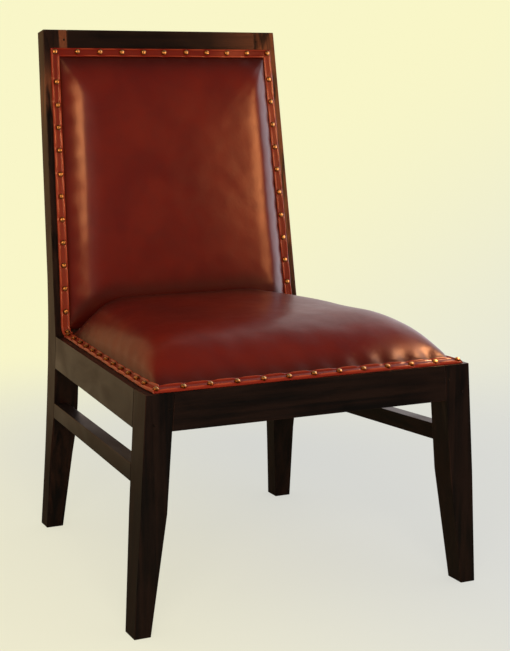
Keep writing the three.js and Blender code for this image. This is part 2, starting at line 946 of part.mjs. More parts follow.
function seat_field(depth, base, with_flange) {
  const edge = depth * cushion_edge_share;
  const rear = post_front_at_seat + seat_overreach;
  const front = roll_places(seat_pad_front + edge, seat_front_roll);
  const rows = [...front, leg_depth, ...rows_between(front[front.length - 1], rear)];
  rows.sort((a, b) => a - b);
  const columns = (y) => {
    const outline = with_flange ? [seat_leather_half(y)] : [];
    return columns_between(seat_pad_half(y) - edge, seat_side_roll, outline);
  };
  if (with_flange) {
    rows.unshift(front_reveal);
  }
  const height = (x, y) => seat_height(x, y, depth);
  return padded_solid(rows, columns, height, base, point);
}

// Half width of the back leather and of its cushion, in the back's own frame
function back_leather_half(h) {
  return stile_outer(h) - side_reveal;
}

function back_pad_half(h) {
  return back_leather_half(h) - band_width - fit_gap;
}

function back_height(x, h, depth) {
  const from_side = back_pad_half(h) - Math.abs(x) - depth;
  const from_top = back_pad_top - h - depth;
  const from_low = h - back_pad_low - depth;
  const side = roll_height(from_side, back_side_roll, back_power, back_fullness);
  const top = roll_height(from_top, back_top_roll, back_power, back_fullness);
  const low = roll_height(from_low, back_low_roll, back_power, back_fullness);
  const across = Math.cos((Math.PI / 2) * (x / back_pad_half(h)));
  const along = Math.sin((Math.PI * (h - back_pad_low)) / (back_pad_top - back_pad_low));
  const crown = back_pad_thickness + back_pad_crown * Math.max(across, 0) * Math.max(along, 0);
  return fit_gap + leather_thickness - depth + crown * side * top * low;
}

function back_place(x, h, height) {
  return point(x, -height, h);
}

function back_rows(depth) {
  const edge = depth * cushion_edge_share;
  const low = roll_places(back_pad_low + edge, back_low_roll);
  const high = roll_places(edge - back_pad_top, back_top_roll).map((h) => -h).reverse();
  const middle = rows_between(low[low.length - 1], high[0]);
  return [...low, ...middle, ...high.slice(1)];
}

function back_field(depth, base, with_flange) {
  const edge = depth * cushion_edge_share;
  const rows = back_rows(depth);
  const columns = (h) => {
    const outline = with_flange ? [back_leather_half(h)] : [];
    return columns_between(back_pad_half(h) - edge, back_side_roll, outline);
  };
  if (with_flange) {
    rows.unshift(back_low_edge);
    rows.push(back_top_edge);
  }
  return padded_solid(rows, columns, (x, h) => back_height(x, h, depth), base, back_place);
}

// What the back takes from the space of the seat cushion, with a clearance round it
function back_clearance(clearance) {
  const low_end = back_low_edge - clearance;
  const rows = [low_end, back_low_edge, ...back_rows(0)];
  const columns = (h) => {
    return columns_between(back_pad_half(h), back_side_roll, [back_leather_half(h) + clearance]);
  };
  const band_top = back_band_base + band_edge_height;
  const height = (x, h) => Math.max(back_height(x, h, 0), band_top) + clearance;
  const cushion = padded_solid(rows, columns, height, -cut_overrun, back_place);
  const behind = [-fit_gap - (clearance - cushion_gap), stile_length];
  const stiles = box(full_width, behind, [-seat_overreach, stile_length]);
  return [in_back_frame(cushion), in_back_frame(stiles)];
}

function seat_solid(depth, base, with_flange) {
  return cut(seat_field(depth, base, with_flange), back_clearance(cushion_gap + depth));
}

// Foam under the leather, trimmed level where its corners would run out below the seat frame
function seat_foam() {
  const whole = seat_solid(leather_thickness + fit_gap, leather_base - cut_overrun, false);
  const under = [leather_base - cut_overrun * 2, leather_base];
  return cut(whole, [box(full_width, full_depth, under)]);
}

function seat_leather() {
  const inside = seat_solid(leather_thickness, leather_base - cut_overrun, false);
  const nails = [-1, 1].map((side) => corner_nail(side, "seat", fit_gap));
  return cut(seat_solid(0, leather_base, true), [inside, ...nails]);
}

function back_foam() {
  const whole = back_field(leather_thickness + fit_gap, fit_gap - cut_overrun, false);
  const behind = [-fit_gap, cut_overrun * 2];
  return cut(whole, [box(full_width, behind, [0, stile_length])]);
}

function back_leather() {
  const inside = back_field(leather_thickness, fit_gap - cut_overrun, false);
  const nails = [-1, 1].map((side) => corner_nail(side, "back", fit_gap));
  return cut(back_field(0, fit_gap, true), [inside, ...nails]);
}

// Folded strip of leather between an outer and an inner line, with both edges raised
function band(stations, place) {
  const outline = band_outline_shares.map(([share, edge_share]) => {
    return [share, mix(band_channel_height, band_edge_height, edge_share)];
  });
  const rings = stations.map(({ outer, inner, rise }) => {
    const at = (share, height) => {
      const spot = outer.clone().lerp(inner, share);
      return place(spot.x, spot.y, height);
    };
    const top = outline.map(([share, height]) => at(share, height + rise * share));
    return [at(0, 0), ...top, at(1, 0)];
  });
  return loft(rings);
}

// Domed nail on a band: its place, and the way its dome faces
function nail_dome(center, normal) {
  const rings = nail_dome_shares.map(([radius_share, height_share]) => {
    return new THREE.Vector2(nail_radius * radius_share, nail_height * height_share);
  });
  const profile = [
    new THREE.Vector2(0, -nail_sink),
    new THREE.Vector2(nail_radius, -nail_sink),
    new THREE.Vector2(nail_radius, 0),
    ...rings,
    new THREE.Vector2(0, nail_height),
  ];
  return turned(profile, nail_sides, center, normal);
}

function turned(profile, sides, center, normal) {
  const geometry = new THREE.LatheGeometry(profile, sides);
  const turn = new THREE.Quaternion().setFromUnitVectors(point(0, 1, 0), normal);
  geometry.applyQuaternion(turn);
  geometry.translate(...center.toArray());
  return closed_lathe(geometry);
}

// Nails along a band from its first corner, where a corner nail stands, to the last one named
function nails_along(stations, place, gaps, last, end_margin) {
  const middle = stations.map(({ outer, inner }) => outer.clone().lerp(inner, 0.5));
  const lengths = [0];
  for (let i = 1; i < middle.length; i++) {
    lengths.push(lengths[i - 1] + middle[i].distanceTo(middle[i - 1]));
  }
  const total = lengths[lengths.length - 1] - end_margin;
  const nails = [];
  for (let k = 1; k <= last; k++) {
    const run = (total * k) / gaps;
    const i = lengths.findIndex((length, n) => n > 0 && length >= run - fit_gap);
    const share = (run - lengths[i - 1]) / (lengths[i] - lengths[i - 1]);
    nails.push(nail_between(stations[i - 1], stations[i], share, place));
  }
  return nails;
}

function nail_between(from, to, share, place) {
  const outer = from.outer.clone().lerp(to.outer, share);
  const inner = from.inner.clone().lerp(to.inner, share);
  const rise = mix(from.rise, to.rise, share);
  const spot = outer.clone().lerp(inner, 0.5);
  const center = place(spot.x, spot.y, band_channel_height + rise / 2);
  const up = place(spot.x, spot.y, band_width).sub(place(spot.x, spot.y, 0)).normalize();
  const over = place(inner.x, inner.y, rise).sub(place(outer.x, outer.y, 0)).normalize();
  const normal = up.addScaledVector(over, -up.dot(over)).normalize();
  return nail_dome(center, normal);
}

function seat_band_place(x, y, height) {
  return point(x, y, band_base + height);
}

function back_band_place(x, h, height) {
  return point(x, -(back_band_base + height), h);
}

function flat(x, y) {
  return new THREE.Vector2(x, y);
}

// Seat bands: across the front and back along each side, mitred at the front corners
function seat_band_front() {
  const half = seat_leather_half(0) - band_mitre_gap;
  const station = (side) => ({
    outer: flat(side * half, front_reveal),
    inner: flat(side * (half - band_width), front_reveal + band_width),
    rise: seat_band_front_rise,
  });
  return [station(-1), station(1)];
}

function seat_band_side(side) {
  const station = (y, rise) => ({
    outer: flat(side * seat_leather_half(y), y),
    inner: flat(side * (seat_leather_half(y) - band_width), y),
    rise,
  });
  const corner = station(front_reveal, seat_band_front_rise);
  corner.inner.y += band_width;
  const bend_share = leg_depth / seat_band_twist_end;
  return [
    corner,
    station(leg_depth, mix(seat_band_front_rise, seat_band_rear_rise, bend_share)),
    station(seat_band_twist_end, seat_band_rear_rise),
    station(post_front_at_seat - fit_gap, seat_band_rear_rise),
  ];
}

// Back bands: up each side and across the top, mitred at the top corners
function back_band_side(side) {
  const station = (h, inner_drop) => ({
    outer: flat(side * back_leather_half(h), h),
    inner: flat(side * (back_leather_half(h - inner_drop) - band_width), h - inner_drop),
    rise: 0,
  });
  return [station(back_top_edge, band_width), station(back_low_edge, 0)];
}

function back_band_top() {
  const station = (side) => ({
    outer: flat(side * (back_leather_half(back_top_edge) - band_mitre_gap), back_top_edge),
    inner: flat(
      side * (back_leather_half(back_top_edge - band_width) - band_width - band_mitre_gap),
      back_top_edge - band_width,
    ),
    rise: 0,
  });
  return [station(-1), station(1)];
}

function nailed_band(stations, place, nails, where) {
  const whole = join([band(stations, place), ...nails]);
  const corner_nails = [-1, 1].map((side) => corner_nail(side, where, fit_gap));
  return cut(whole, corner_nails);
}

// Corner nail over the mitre of two bands, with its shank; the back's stands in the back's frame
function corner_nail(side, where, growth) {
  const on_seat = where === "seat";
  const station = on_seat ? seat_band_side(side)[0] : back_band_side(side)[0];
  const place = on_seat ? seat_band_place : back_band_place;
  const spot = station.outer.clone().lerp(station.inner, 0.5);
  const height = band_channel_height + station.rise / 2 + fit_gap;
  const center = place(spot.x, spot.y, height);
  const normal = place(spot.x, spot.y, height + nail_height).sub(center).normalize();
  const rings = nail_dome_shares.map(([radius_share, height_share]) => {
    return flat((nail_radius + growth) * radius_share, (nail_height + growth) * height_share);
  });
  const profile = [
    flat(0, -nail_shank_length - growth),
    flat(nail_shank_radius + growth, -nail_shank_length - growth),
    flat(nail_shank_radius + growth, -growth),
    flat(nail_radius + growth, -growth),
    ...rings,
    flat(0, nail_height + growth),
  ];
  return turned(profile, nail_sides, center, normal);
}

// Outside back: a thin board behind the rails and the leather tray drawn over it
function outside_ring(h, margin) {
  return stile_inner(h) - outside_side_gap - margin;
}

function outside_block(margin, front, rear, chamfer) {
  const low = outside_low_margin + margin;
  const high = stile_length - outside_top_margin - margin;
  const ring = (y, inset) => {
    return [
      point(-outside_ring(low, margin + inset), y, low + inset),
      point(outside_ring(low, margin + inset), y, low + inset),
      point(outside_ring(high, margin + inset), y, high - inset),
      point(-outside_ring(high, margin + inset), y, high - inset),
    ];
  };
  return loft([ring(front, 0), ring(rear - chamfer, 0), ring(rear, chamfer)]);
}

function outside_board(growth) {
  const margin = leather_thickness + fit_gap - growth;
  const rear = outside_front + outside_board_thickness + growth;
  return outside_block(margin, outside_front - growth, rear, outside_chamfer);
}

function outside_leather() {
  const rear = outside_front + outside_board_thickness + fit_gap + leather_thickness;
  const skin = outside_block(0, outside_front, rear, outside_chamfer);
  return cut(skin, [outside_board(fit_gap)]);
}

// Straight pegs and screws
function block_screw(side, end) {
  const at = block_places(side, end);
  return screw(at.head, at.tip, 0);
}

function board_screw(side, end) {
  const at = block_places(side, end);
  return screw(at.board_head, at.board_tip, 0);
}

// The chair is put together with the middle of its footprint at the origin
const chair = new THREE.Group();
chair.position.y = -overall_depth / 2;
const back = new THREE.Group();
back.position.set(0, post_front_at_seat, seat_frame_height);
back.rotation.x = -rake_angle;
chair.add(back);

function add(group, name, geometry, material) {
  const mesh = new THREE.Mesh(geometry, material);
  mesh.name = name;
  group.add(mesh);
}

const sides = [
  { side: -1, hand: "left" },
  { side: 1, hand: "right" },
];

add(chair, "front_apron", front_apron(), wood);
add(chair, "rear_apron", rear_apron(), wood);
for (const { side, hand } of sides) {
  add(chair, `front_leg_${hand}`, front_leg(side), wood);
  add(chair, `rear_post_${hand}`, rear_post(side), wood);
  add(chair, `side_apron_${hand}`, side_apron(side), wood);
  add(chair, `side_stretcher_${hand}`, side_stretcher(side), wood);
  const [upper_peg, lower_peg] = leg_pegs(side, 0);
  add(chair, `leg_peg_upper_${hand}`, upper_peg, peg_wood);
  add(chair, `leg_peg_lower_${hand}`, lower_peg, peg_wood);
  add(back, `rail_peg_${hand}`, rail_peg(side, 0), peg_wood);
  for (const end of ["front", "rear"]) {
    add(chair, `corner_block_${end}_${hand}`, corner_block(side, end), wood);
    add(chair, `block_screw_${end}_${hand}`, block_screw(side, end), steel);
    add(chair, `board_screw_${end}_${hand}`, board_screw(side, end), steel);
  }
}

add(back, "back_top_rail", top_rail(), wood);
add(back, "back_low_rail", low_rail(), wood);
add(chair, "seat_board", seat_board(), plywood);
add(back, "back_board", back_board(), plywood);

add(chair, "seat_foam", seat_foam(), foam);
add(chair, "seat_leather", seat_leather(), leather);
add(back, "back_foam", back_foam(), foam);
add(back, "back_leather", back_leather(), leather);

const front_stations = seat_band_front();
const front_nails = nails_along(
  front_stations,
  seat_band_place,
  front_nail_gaps,
  front_nail_gaps - 1,
  0,
);
const front_band = nailed_band(front_stations, seat_band_place, front_nails, "seat");
add(chair, "seat_band_front", front_band, band_leather);

const top_stations = back_band_top();
const top_nails = nails_along(top_stations, back_band_place, top_nail_gaps, top_nail_gaps - 1, 0);
const top_band = nailed_band(top_stations, back_band_place, top_nails, "back");
add(back, "back_band_top", top_band, band_leather);

for (const { side, hand } of sides) {
  const seat_stations = seat_band_side(side);
  const seat_nails = nails_along(
    seat_stations,
    seat_band_place,
    side_nail_gaps,
    side_nail_gaps,
    nail_end_margin,
  );
  const seat_band = nailed_band(seat_stations, seat_band_place, seat_nails, "seat");
  add(chair, `seat_band_${hand}`, seat_band, band_leather);

  const back_stations = back_band_side(side);
  const back_nails = nails_along(
    back_stations,
    back_band_place,
    back_side_nail_gaps,
    back_side_nail_gaps - 1,
    0,
  );
  const back_band = nailed_band(back_stations, back_band_place, back_nails, "back");
  add(back, `back_band_${hand}`, back_band, band_leather);

  add(chair, `corner_nail_seat_${hand}`, corner_nail(side, "seat", 0), brass);
  add(back, `corner_nail_back_${hand}`, corner_nail(side, "back", 0), brass);
}

add(back, "outside_back_board", outside_board(0), plywood);
add(back, "outside_back_leather", outside_leather(), leather);

export default chair;
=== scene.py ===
import functools
import math

import bmesh
import bpy
import numpy as np
from mathutils import Matrix, Vector, noise


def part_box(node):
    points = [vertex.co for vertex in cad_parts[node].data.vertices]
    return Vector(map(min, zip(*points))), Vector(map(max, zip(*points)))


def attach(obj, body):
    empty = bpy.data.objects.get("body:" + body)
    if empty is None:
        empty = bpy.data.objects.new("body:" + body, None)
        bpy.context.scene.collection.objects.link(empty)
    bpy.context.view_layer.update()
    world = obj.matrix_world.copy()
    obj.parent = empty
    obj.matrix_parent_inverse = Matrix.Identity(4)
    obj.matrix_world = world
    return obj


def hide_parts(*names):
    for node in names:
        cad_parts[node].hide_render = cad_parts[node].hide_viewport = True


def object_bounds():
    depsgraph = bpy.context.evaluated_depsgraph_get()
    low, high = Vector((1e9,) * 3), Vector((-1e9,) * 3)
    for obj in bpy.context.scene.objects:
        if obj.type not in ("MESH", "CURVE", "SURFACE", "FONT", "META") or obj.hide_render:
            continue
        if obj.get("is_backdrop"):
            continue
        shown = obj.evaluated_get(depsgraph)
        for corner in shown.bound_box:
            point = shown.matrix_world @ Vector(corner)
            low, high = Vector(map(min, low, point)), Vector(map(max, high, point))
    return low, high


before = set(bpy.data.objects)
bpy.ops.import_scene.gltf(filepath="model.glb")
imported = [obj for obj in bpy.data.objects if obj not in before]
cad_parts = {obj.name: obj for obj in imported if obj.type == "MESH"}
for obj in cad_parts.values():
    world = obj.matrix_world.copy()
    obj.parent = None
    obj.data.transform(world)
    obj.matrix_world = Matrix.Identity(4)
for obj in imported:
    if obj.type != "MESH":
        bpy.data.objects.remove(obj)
cad_low, cad_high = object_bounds()

# Frame: two front legs, two rear posts, aprons, side stretchers and the two rails of the back.
# Close-grained tropical hardwood, tenoned and glued, long edges eased with a sanding block,
# stained espresso and lacquered in satin. Reddish sapwood shows through in a few places.
edge_easing = 0.0011
easing_steps = 3
merge_gap = 0.00001
flat_angle = math.radians(0.3)
sharp_angle = math.radians(32)
shortest_eased_edge = 0.011
frame_nodes = [
    "front_apron", "rear_apron", "side_apron_left", "side_apron_right",
    "front_leg_left", "front_leg_right", "rear_post_left", "rear_post_right",
    "side_stretcher_left", "side_stretcher_right", "back_top_rail", "back_low_rail",
]
# Extra edges across the parts whose sapwood changes along them
cuts_of = {
    "rear_post_left": [((0, 0, height), (0, 0, 1)) for height in np.arange(0.70, 0.968, 0.012)]
    + [((x, 0, 0.97), (1, 0, -0.0303)) for x in (-0.2100, -0.2127)],
    "back_top_rail": [((x, 0, 0), (1, 0, 0)) for x in (0, 0.05, 0.1, 0.15, 0.2)],
}


def linear(colour):
    """An sRGB hex colour as the linear values that a shader takes."""
    parts = [int(colour[i:i + 2], 16) / 255 for i in (1, 3, 5)]
    parts = [c / 12.92 if c <= 0.04045 else ((c + 0.055) / 1.055) ** 2.4 for c in parts]
    return (*parts, 1)


def add_node(tree, kind, inputs=(), out=0, **settings):
    """Adds a node and gives one of its outputs, or all of them where out is None.

    The inputs are values, hex colours or outputs of other nodes, in the order of the sockets or
    by their names or numbers.
    """
    node = tree.nodes.new(kind if "Node" in kind else "ShaderNode" + kind)
    for name, value in settings.items():
        setattr(node, name, value)
    for key, value in inputs.items() if isinstance(inputs, dict) else enumerate(inputs):
        for given in value if isinstance(value, list) else [value]:
            if isinstance(given, bpy.types.NodeSocket):
                tree.links.new(given, node.inputs[key])
            else:
                hex_colour = str(given).startswith("#")
                node.inputs[key].default_value = linear(given) if hex_colour else given
    return node.outputs if out is None else node.outputs[out]


def new_material(name):
    """An empty material, and what adds nodes to it."""
    material = bpy.data.materials.new(name)
    material.use_nodes = True
    material.node_tree.nodes.clear()
    return material, functools.partial(add_node, material.node_tree)


def surfaced(material, add, height, strength, depth, look):
    """Ends a material with its relief, as deep as the real one in metres, and its shader."""
    relief = add("Bump", {"Strength": strength, "Distance": depth, "Height": height})
    shader = add("BsdfPrincipled", look | {"Normal": relief})
    add("OutputMaterial", {"Surface": shader}, None)
    return material


def bell(distance, reach):
    """A share that is 1 in the middle and fades out over a reach."""
    return np.exp(-((distance / reach) ** 2))


def stained_wood(name, dark, brown, sapwood, gloss):
    """Espresso-stained hardwood under lacquer: long dark fibres, brown where the stain is thin."""
    material, add = new_material(name)
    grain = add("Attribute", out="Vector", attribute_name="grain")
    pale = add("Attribute", out="Fac", attribute_name="sapwood")
    eased = add("Attribute", out="Fac", attribute_name="eased")
    # Fibres are about 1 mm wide and 30 mm long, growth bands 9 mm by 400 mm, blotches 60 mm
    fibre, growth, blotch = (
        add("TexNoise", {
            "Vector": add("Mapping", {"Vector": grain, "Scale": scale}), "Scale": 1,
            "Detail": detail, "Roughness": roughness, "Distortion": distortion,
        })
        for scale, detail, roughness, distortion in (
            ((900, 900, 32), 3, 0.6, 0), ((110, 110, 2.5), 2, 0.5, 0.5), ((16, 16, 7), 3, 0.5, 0.8),
        )
    )
    streak = add("MapRange", [growth, 0.42, 0.8, 0, 0.8], interpolation_type="SMOOTHSTEP")
    body = add("Mix", {0: streak, 6: dark, 7: brown}, 2, data_type="RGBA")
    patch = add("Math", [blotch, growth], operation="ADD")
    thin_stain = add("MapRange", [patch, 0.72, 1.2], interpolation_type="SMOOTHSTEP")
    sap_share = add("Math", [thin_stain, pale], operation="MULTIPLY")
    with_sap = add("Mix", {0: sap_share, 6: body, 7: sapwood}, 2, data_type="RGBA")
    rubbed = add("MapRange", [blotch, 0.45, 0.7, 0, 0.14])
    rub_share = add("Math", [rubbed, eased], operation="MULTIPLY")
    worn = add("Mix", {0: rub_share, 6: with_sap, 7: sapwood}, 2, data_type="RGBA")
    pore = add("MapRange", [fibre, 0.3, 0.62, 0.62, 1])
    colour = add("Mix", {0: 1, 6: worn, 7: pore}, 2, data_type="RGBA", blend_type="MULTIPLY")
    sheen = add("MapRange", [blotch, 0.3, 0.7, gloss - 0.06, gloss + 0.07])
    # The lacquer sinks about 0.1 mm into the pores
    height = add("Math", [fibre, growth], operation="ADD")
    return surfaced(material, add, height, 0.35, 0.0002,
                    {"Base Color": colour, "Roughness": sheen, "IOR": 1.36})


def linked(name, data):
    """A new object in the scene."""
    item = bpy.data.objects.new(name, data)
    bpy.context.scene.collection.objects.link(item)
    return item


def new_piece(name, mesh, material):
    """A piece of the chair, smooth, at the origin."""
    mesh.materials.clear()
    mesh.materials.append(material)
    mesh.shade_smooth()
    return linked(name, mesh)


def apply_modifiers(piece):
    """Makes the piece's modifiers part of its mesh."""
    shown = piece.evaluated_get(bpy.context.evaluated_depsgraph_get())
    mesh = bpy.data.meshes.new_from_object(shown)
    piece.modifiers.clear()
    piece.data = mesh
    return piece


def modified(piece, kind, **settings):
    """Gives the piece a modifier and applies it."""
    modifier = piece.modifiers.new(kind, kind)
    for name, value in settings.items():
        setattr(modifier, name, value)
    return apply_modifiers(piece)


def fitted(piece, slot, *nodes, fill=None):
    """Hides the nodes that a piece stands for and lets the piece ride on the chair; the slot, for what
    it is made of, is not used.
    """
    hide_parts(*nodes)
    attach(piece, "root")


def as_mesh(name, shape):
    """The mesh of a finished bmesh."""
    mesh = bpy.data.meshes.new(name)
    shape.to_mesh(mesh)
    shape.free()
    return mesh


def points_of(mesh):
    return np.array([v.co for v in mesh.vertices])


def store(mesh, name, values, kind="FLOAT", domain="POINT"):
    """Keeps values on a mesh, for its material or its tree of nodes to read."""
    layer = mesh.attributes.new(name, kind, domain)
    key = "value" if kind == "FLOAT" else "vector"
    layer.data.foreach_set(key, np.asarray(values, np.float32).ravel())


def whole_faces(node):
    """A mesh of a node's shape, its loose triangles joined into flat faces."""
    shape = bmesh.new()
    shape.from_mesh(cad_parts[node].data)
    bmesh.ops.remove_doubles(shape, verts=shape.verts, dist=merge_gap)
    bmesh.ops.dissolve_limit(
        shape, angle_limit=flat_angle, verts=shape.verts, edges=shape.edges,
    )
    eased = shape.edges.layers.float.new("bevel_weight_edge")
    for edge in shape.edges:
        long_enough = edge.calc_length() > shortest_eased_edge
        if long_enough and edge.is_convex and edge.calc_face_angle(0) > sharp_angle:
            edge[eased] = 1
    for place, way in cuts_of.get(node, ()):
        everything = list(shape.verts) + list(shape.edges) + list(shape.faces)
        bmesh.ops.bisect_plane(shape, geom=everything, plane_co=place, plane_no=way)
    return as_mesh(node, shape)


def mark_grain(mesh, number):
    """Stores where each point lies in its own board, the length of the board last."""
    places = points_of(mesh)
    order = np.argsort(places.max(0) - places.min(0))
    turned = places[:, order] + np.array([0.37, 0.23, 1.71]) * number
    store(mesh, "grain", turned, "FLOAT_VECTOR")


def joinery(node, material, number, sapwood_at, slot):
    """A wooden part. Its mesh says which narrow faces are eased edges, and where sapwood shows."""
    piece = new_piece(f"{node}_stained", whole_faces(node), material)
    modified(piece, "BEVEL", limit_method="WEIGHT", width=edge_easing, segments=easing_steps,
             use_clamp_overlap=False, miter_outer="MITER_SHARP")
    mesh = modified(piece, "WEIGHTED_NORMAL", weight=100).data
    mark_grain(mesh, number)
    eased = np.zeros(len(mesh.loops))
    for face in mesh.polygons:
        corners = [mesh.vertices[v].co for v in face.vertices]
        longest = max((a - b).length for a, b in zip(corners, corners[1:] + corners[:1]))
        eased[list(face.loop_indices)] = face.area < longest * edge_easing * 0.8
    store(mesh, "eased", eased, domain="CORNER")
    store(mesh, "sapwood", [sapwood_at(v.co) for v in mesh.vertices])
    fitted(piece, slot, node)


def left_post_sapwood(place):
    """Bright at the inner edge beside the top rail, and in patches down the outer half."""
    inner_half = place.x > -0.2114 - 0.0303 * (0.97 - place.z)
    beside_rail = 4.0 * bell(place.z - 0.962, 0.022) * inner_half
    patch = 1.6 * bell(place.z - 0.84, 0.045) * (not inner_half)
    return 0.10 + beside_rail + patch


def right_post_sapwood(place):
    return 1.4 if place.z > 0.45 else 0.08


def rail_sapwood(place):
    """The right end of the top rail took less stain."""
    return 0.05 + 0.8 * max(0, place.x - 0.1) / 0.14


def hardly_any_sapwood(place):
    return 0.05


espresso = stained_wood("espresso_stained_hardwood", "#0a0808", "#120d0b", "#6a3519", 0.36)
sapwood_of = {
    "rear_post_left": left_post_sapwood, "rear_post_right": right_post_sapwood,
    "back_top_rail": rail_sapwood,
}
for number, node in enumerate(frame_nodes):
    joinery(node, espresso, number, sapwood_of.get(node, hardly_any_sapwood), "frame_wood")

# Corner blocks glued and screwed into the four corners under the seat, of offcuts that took a
# lighter coat of stain and no lacquer.
corners = [f"{end}_{hand}" for end in ("front", "rear") for hand in ("left", "right")]
sawn = stained_wood("sawn_stained_hardwood", "#21150f", "#38251a", "#5c4029", 0.7)
for number, corner in enumerate(corners):
    joinery(f"corner_block_{corner}", sawn, number, hardly_any_sapwood, "block_wood")

# Frame of the back: everything above the seat leans back together. Places there are given across
# the chair, up along the front of the stiles, and out towards the sitter.
lean_back = 0.082
front_line = cad_low.y
seat_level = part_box("front_leg_left")[1].z
stile_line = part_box("seat_band_left")[1].y + 0.0003
chair_depth = stile_line - front_line
rake = math.atan2(lean_back, cad_high.z - seat_level)
stile_length = math.hypot(lean_back, cad_high.z - seat_level)
out_of_back = np.array([0, -math.cos(rake), math.sin(rake)])


def back_places(x, up, out):
    """Points in the chair's frame from places in the frame of the back."""
    y = stile_line + up * math.sin(rake) - out * math.cos(rake)
    z = seat_level + up * math.cos(rake) + out * math.sin(rake)
    return np.stack(np.broadcast_arrays(x, y, z), axis=-1)


def in_back(places):
    """How far up the stiles and out towards the sitter points of the chair's frame lie."""
    y = places[..., 1] - stile_line
    z = places[..., 2] - seat_level
    return y * math.sin(rake) + z * math.cos(rake), z * math.sin(rake) - y * math.cos(rake)


# Back cushion: foam and wadding on a plywood board between the stiles, under one hide of oxblood
# leather drawn over it and tacked round the opening. Its sides roll in, and the leather is
# mitred at the top corners.
leather_thickness = 0.0016
skin_gap = 0.0003
flange_out = skin_gap + leather_thickness
tack_margin = 0.0028
tack_width = 0.006
band_width = 0.017
side_reveal = 0.012
top_reveal = 0.035
half_at_seat = 0.2595
half_at_top = 0.24225
pad_thickness = 0.036
pad_crown = 0.006
side_roll = 0.068
top_roll = 0.086
low_roll = 0.060
roll_power = 2.2
roll_fullness = 0.80
back_low_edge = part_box("seat_band_left")[1].z - seat_level + 0.0012
back_top_edge = stile_length - top_reveal
pad_low = back_low_edge + 0.008
pad_high = back_top_edge - band_width - skin_gap
mitre_softness = 0.30
corner_fall = 0.5
corner_reach = 0.035
crease_depth = 0.0004
crease_width = 0.0035
crease_length = 0.075
sheet_steps = 170
back_swell = 0.0030
back_pucker = (0.0009, 0.010, 0.006)
back_side_gaps = 12
back_top_gaps = 10
cloth_stride = 4
filling_pressure = 4
settle_frames = 20


def rolled(distance, roll, power, fullness):
    """Share of a cushion's height at a distance in from its edge."""
    share = np.clip(distance / roll, 0, 1)
    return (1 - (1 - share) ** power) ** fullness


def soft_least(a, b, softness):
    """The lower of two heights, rounded where they meet."""
    softness = np.maximum(softness, 0.0001)
    share = np.clip(0.5 + 0.5 * (b - a) / softness, 0, 1)
    return b * (1 - share) + a * share - softness * share * (1 - share)


def stile_half(up):
    return half_at_seat + (half_at_top - half_at_seat) * up / stile_length


def back_pad_half(up):
    return stile_half(up) - side_reveal - band_width - skin_gap


def back_height(x, up):
    """How far the leather of the back stands out from the stiles."""
    half = back_pad_half(up)
    in_x = half - np.abs(x)
    in_up = pad_high - up
    side = rolled(in_x, side_roll, roll_power, roll_fullness)
    top = rolled(in_up, top_roll, roll_power, roll_fullness)
    low = rolled(up - pad_low, low_roll, roll_power, roll_fullness)
    across = np.clip(np.cos(math.pi / 2 * x / half), 0, 1)
    along = np.clip(np.sin(math.pi * (up - pad_low) / (pad_high - pad_low)), 0, 1)
    edge = np.clip(soft_least(side, top, mitre_softness * np.minimum(side, top)), 0, 1)
    edge = edge * (1 - corner_fall * bell(np.hypot(in_x, in_up), corner_reach))
    off_mitre = (in_up * side_roll - in_x * top_roll) / math.hypot(side_roll, top_roll)
    along_mitre = np.clip((in_x + in_up) / crease_length, 0, 1)
    crease = bell(off_mitre, crease_width) * np.sin(math.pi * along_mitre) ** 0.8
    full = (pad_thickness + pad_crown * across * along) * edge * low
    return flange_out + full - crease_depth * crease * np.clip(edge * 6, 0, 1)


def closer_at_ends(count):
    """Shares from -1 to 1 that lie closer together near both ends."""
    even = np.linspace(-1, 1, count)
    return 0.45 * even + 0.55 * np.sin(math.pi / 2 * even)


def wave(places, size, seed):
    """A soft random height from about -1 to 1 at each point, with bumps of about that size."""
    shift = Vector((seed * 3.1, seed * 1.7, seed * 2.3))
    heights = [noise.noise(Vector(p) + shift) for p in places.reshape(-1, 3) / size]
    return np.array(heights).reshape(places.shape[:-1])


def facing(points):
    """The direction that a grid of points faces, at each of its points."""
    normals = np.cross(np.gradient(points, axis=1), np.gradient(points, axis=0))
    return normals / np.maximum(np.linalg.norm(normals, axis=-1, keepdims=True), 1e-12)


def runs(points, axis):
    """Distances along a grid's surface from its first line and from its last."""
    steps = np.cumsum(np.linalg.norm(np.diff(points, axis=axis), axis=-1), axis=axis)
    start = np.zeros_like(np.take(steps, [0], axis=axis))
    from_first = np.concatenate([start, steps], axis=axis)
    return from_first, np.take(from_first, [-1], axis=axis) - from_first


def nearest(*distances):
    return np.minimum.reduce(distances)


def squares(rows, columns, ring=False):
    """The square faces of a grid of points, closed round its rows where it is a ring."""
    index = np.arange(rows * columns).reshape(rows, columns)
    beside = np.roll(index, -1, axis=1)
    if not ring:
        index, beside = index[:, :-1], beside[:, :-1]
    faces = np.stack([index[:-1], beside[:-1], beside[1:], index[1:]], axis=-1)
    return faces.reshape(-1, 4).tolist()


def grid_mesh(name, points):
    """A sheet of square faces through a grid of points."""
    mesh = bpy.data.meshes.new(name)
    mesh.from_pydata(points.reshape(-1, 3).tolist(), [], squares(*points.shape[:2]))
    return mesh


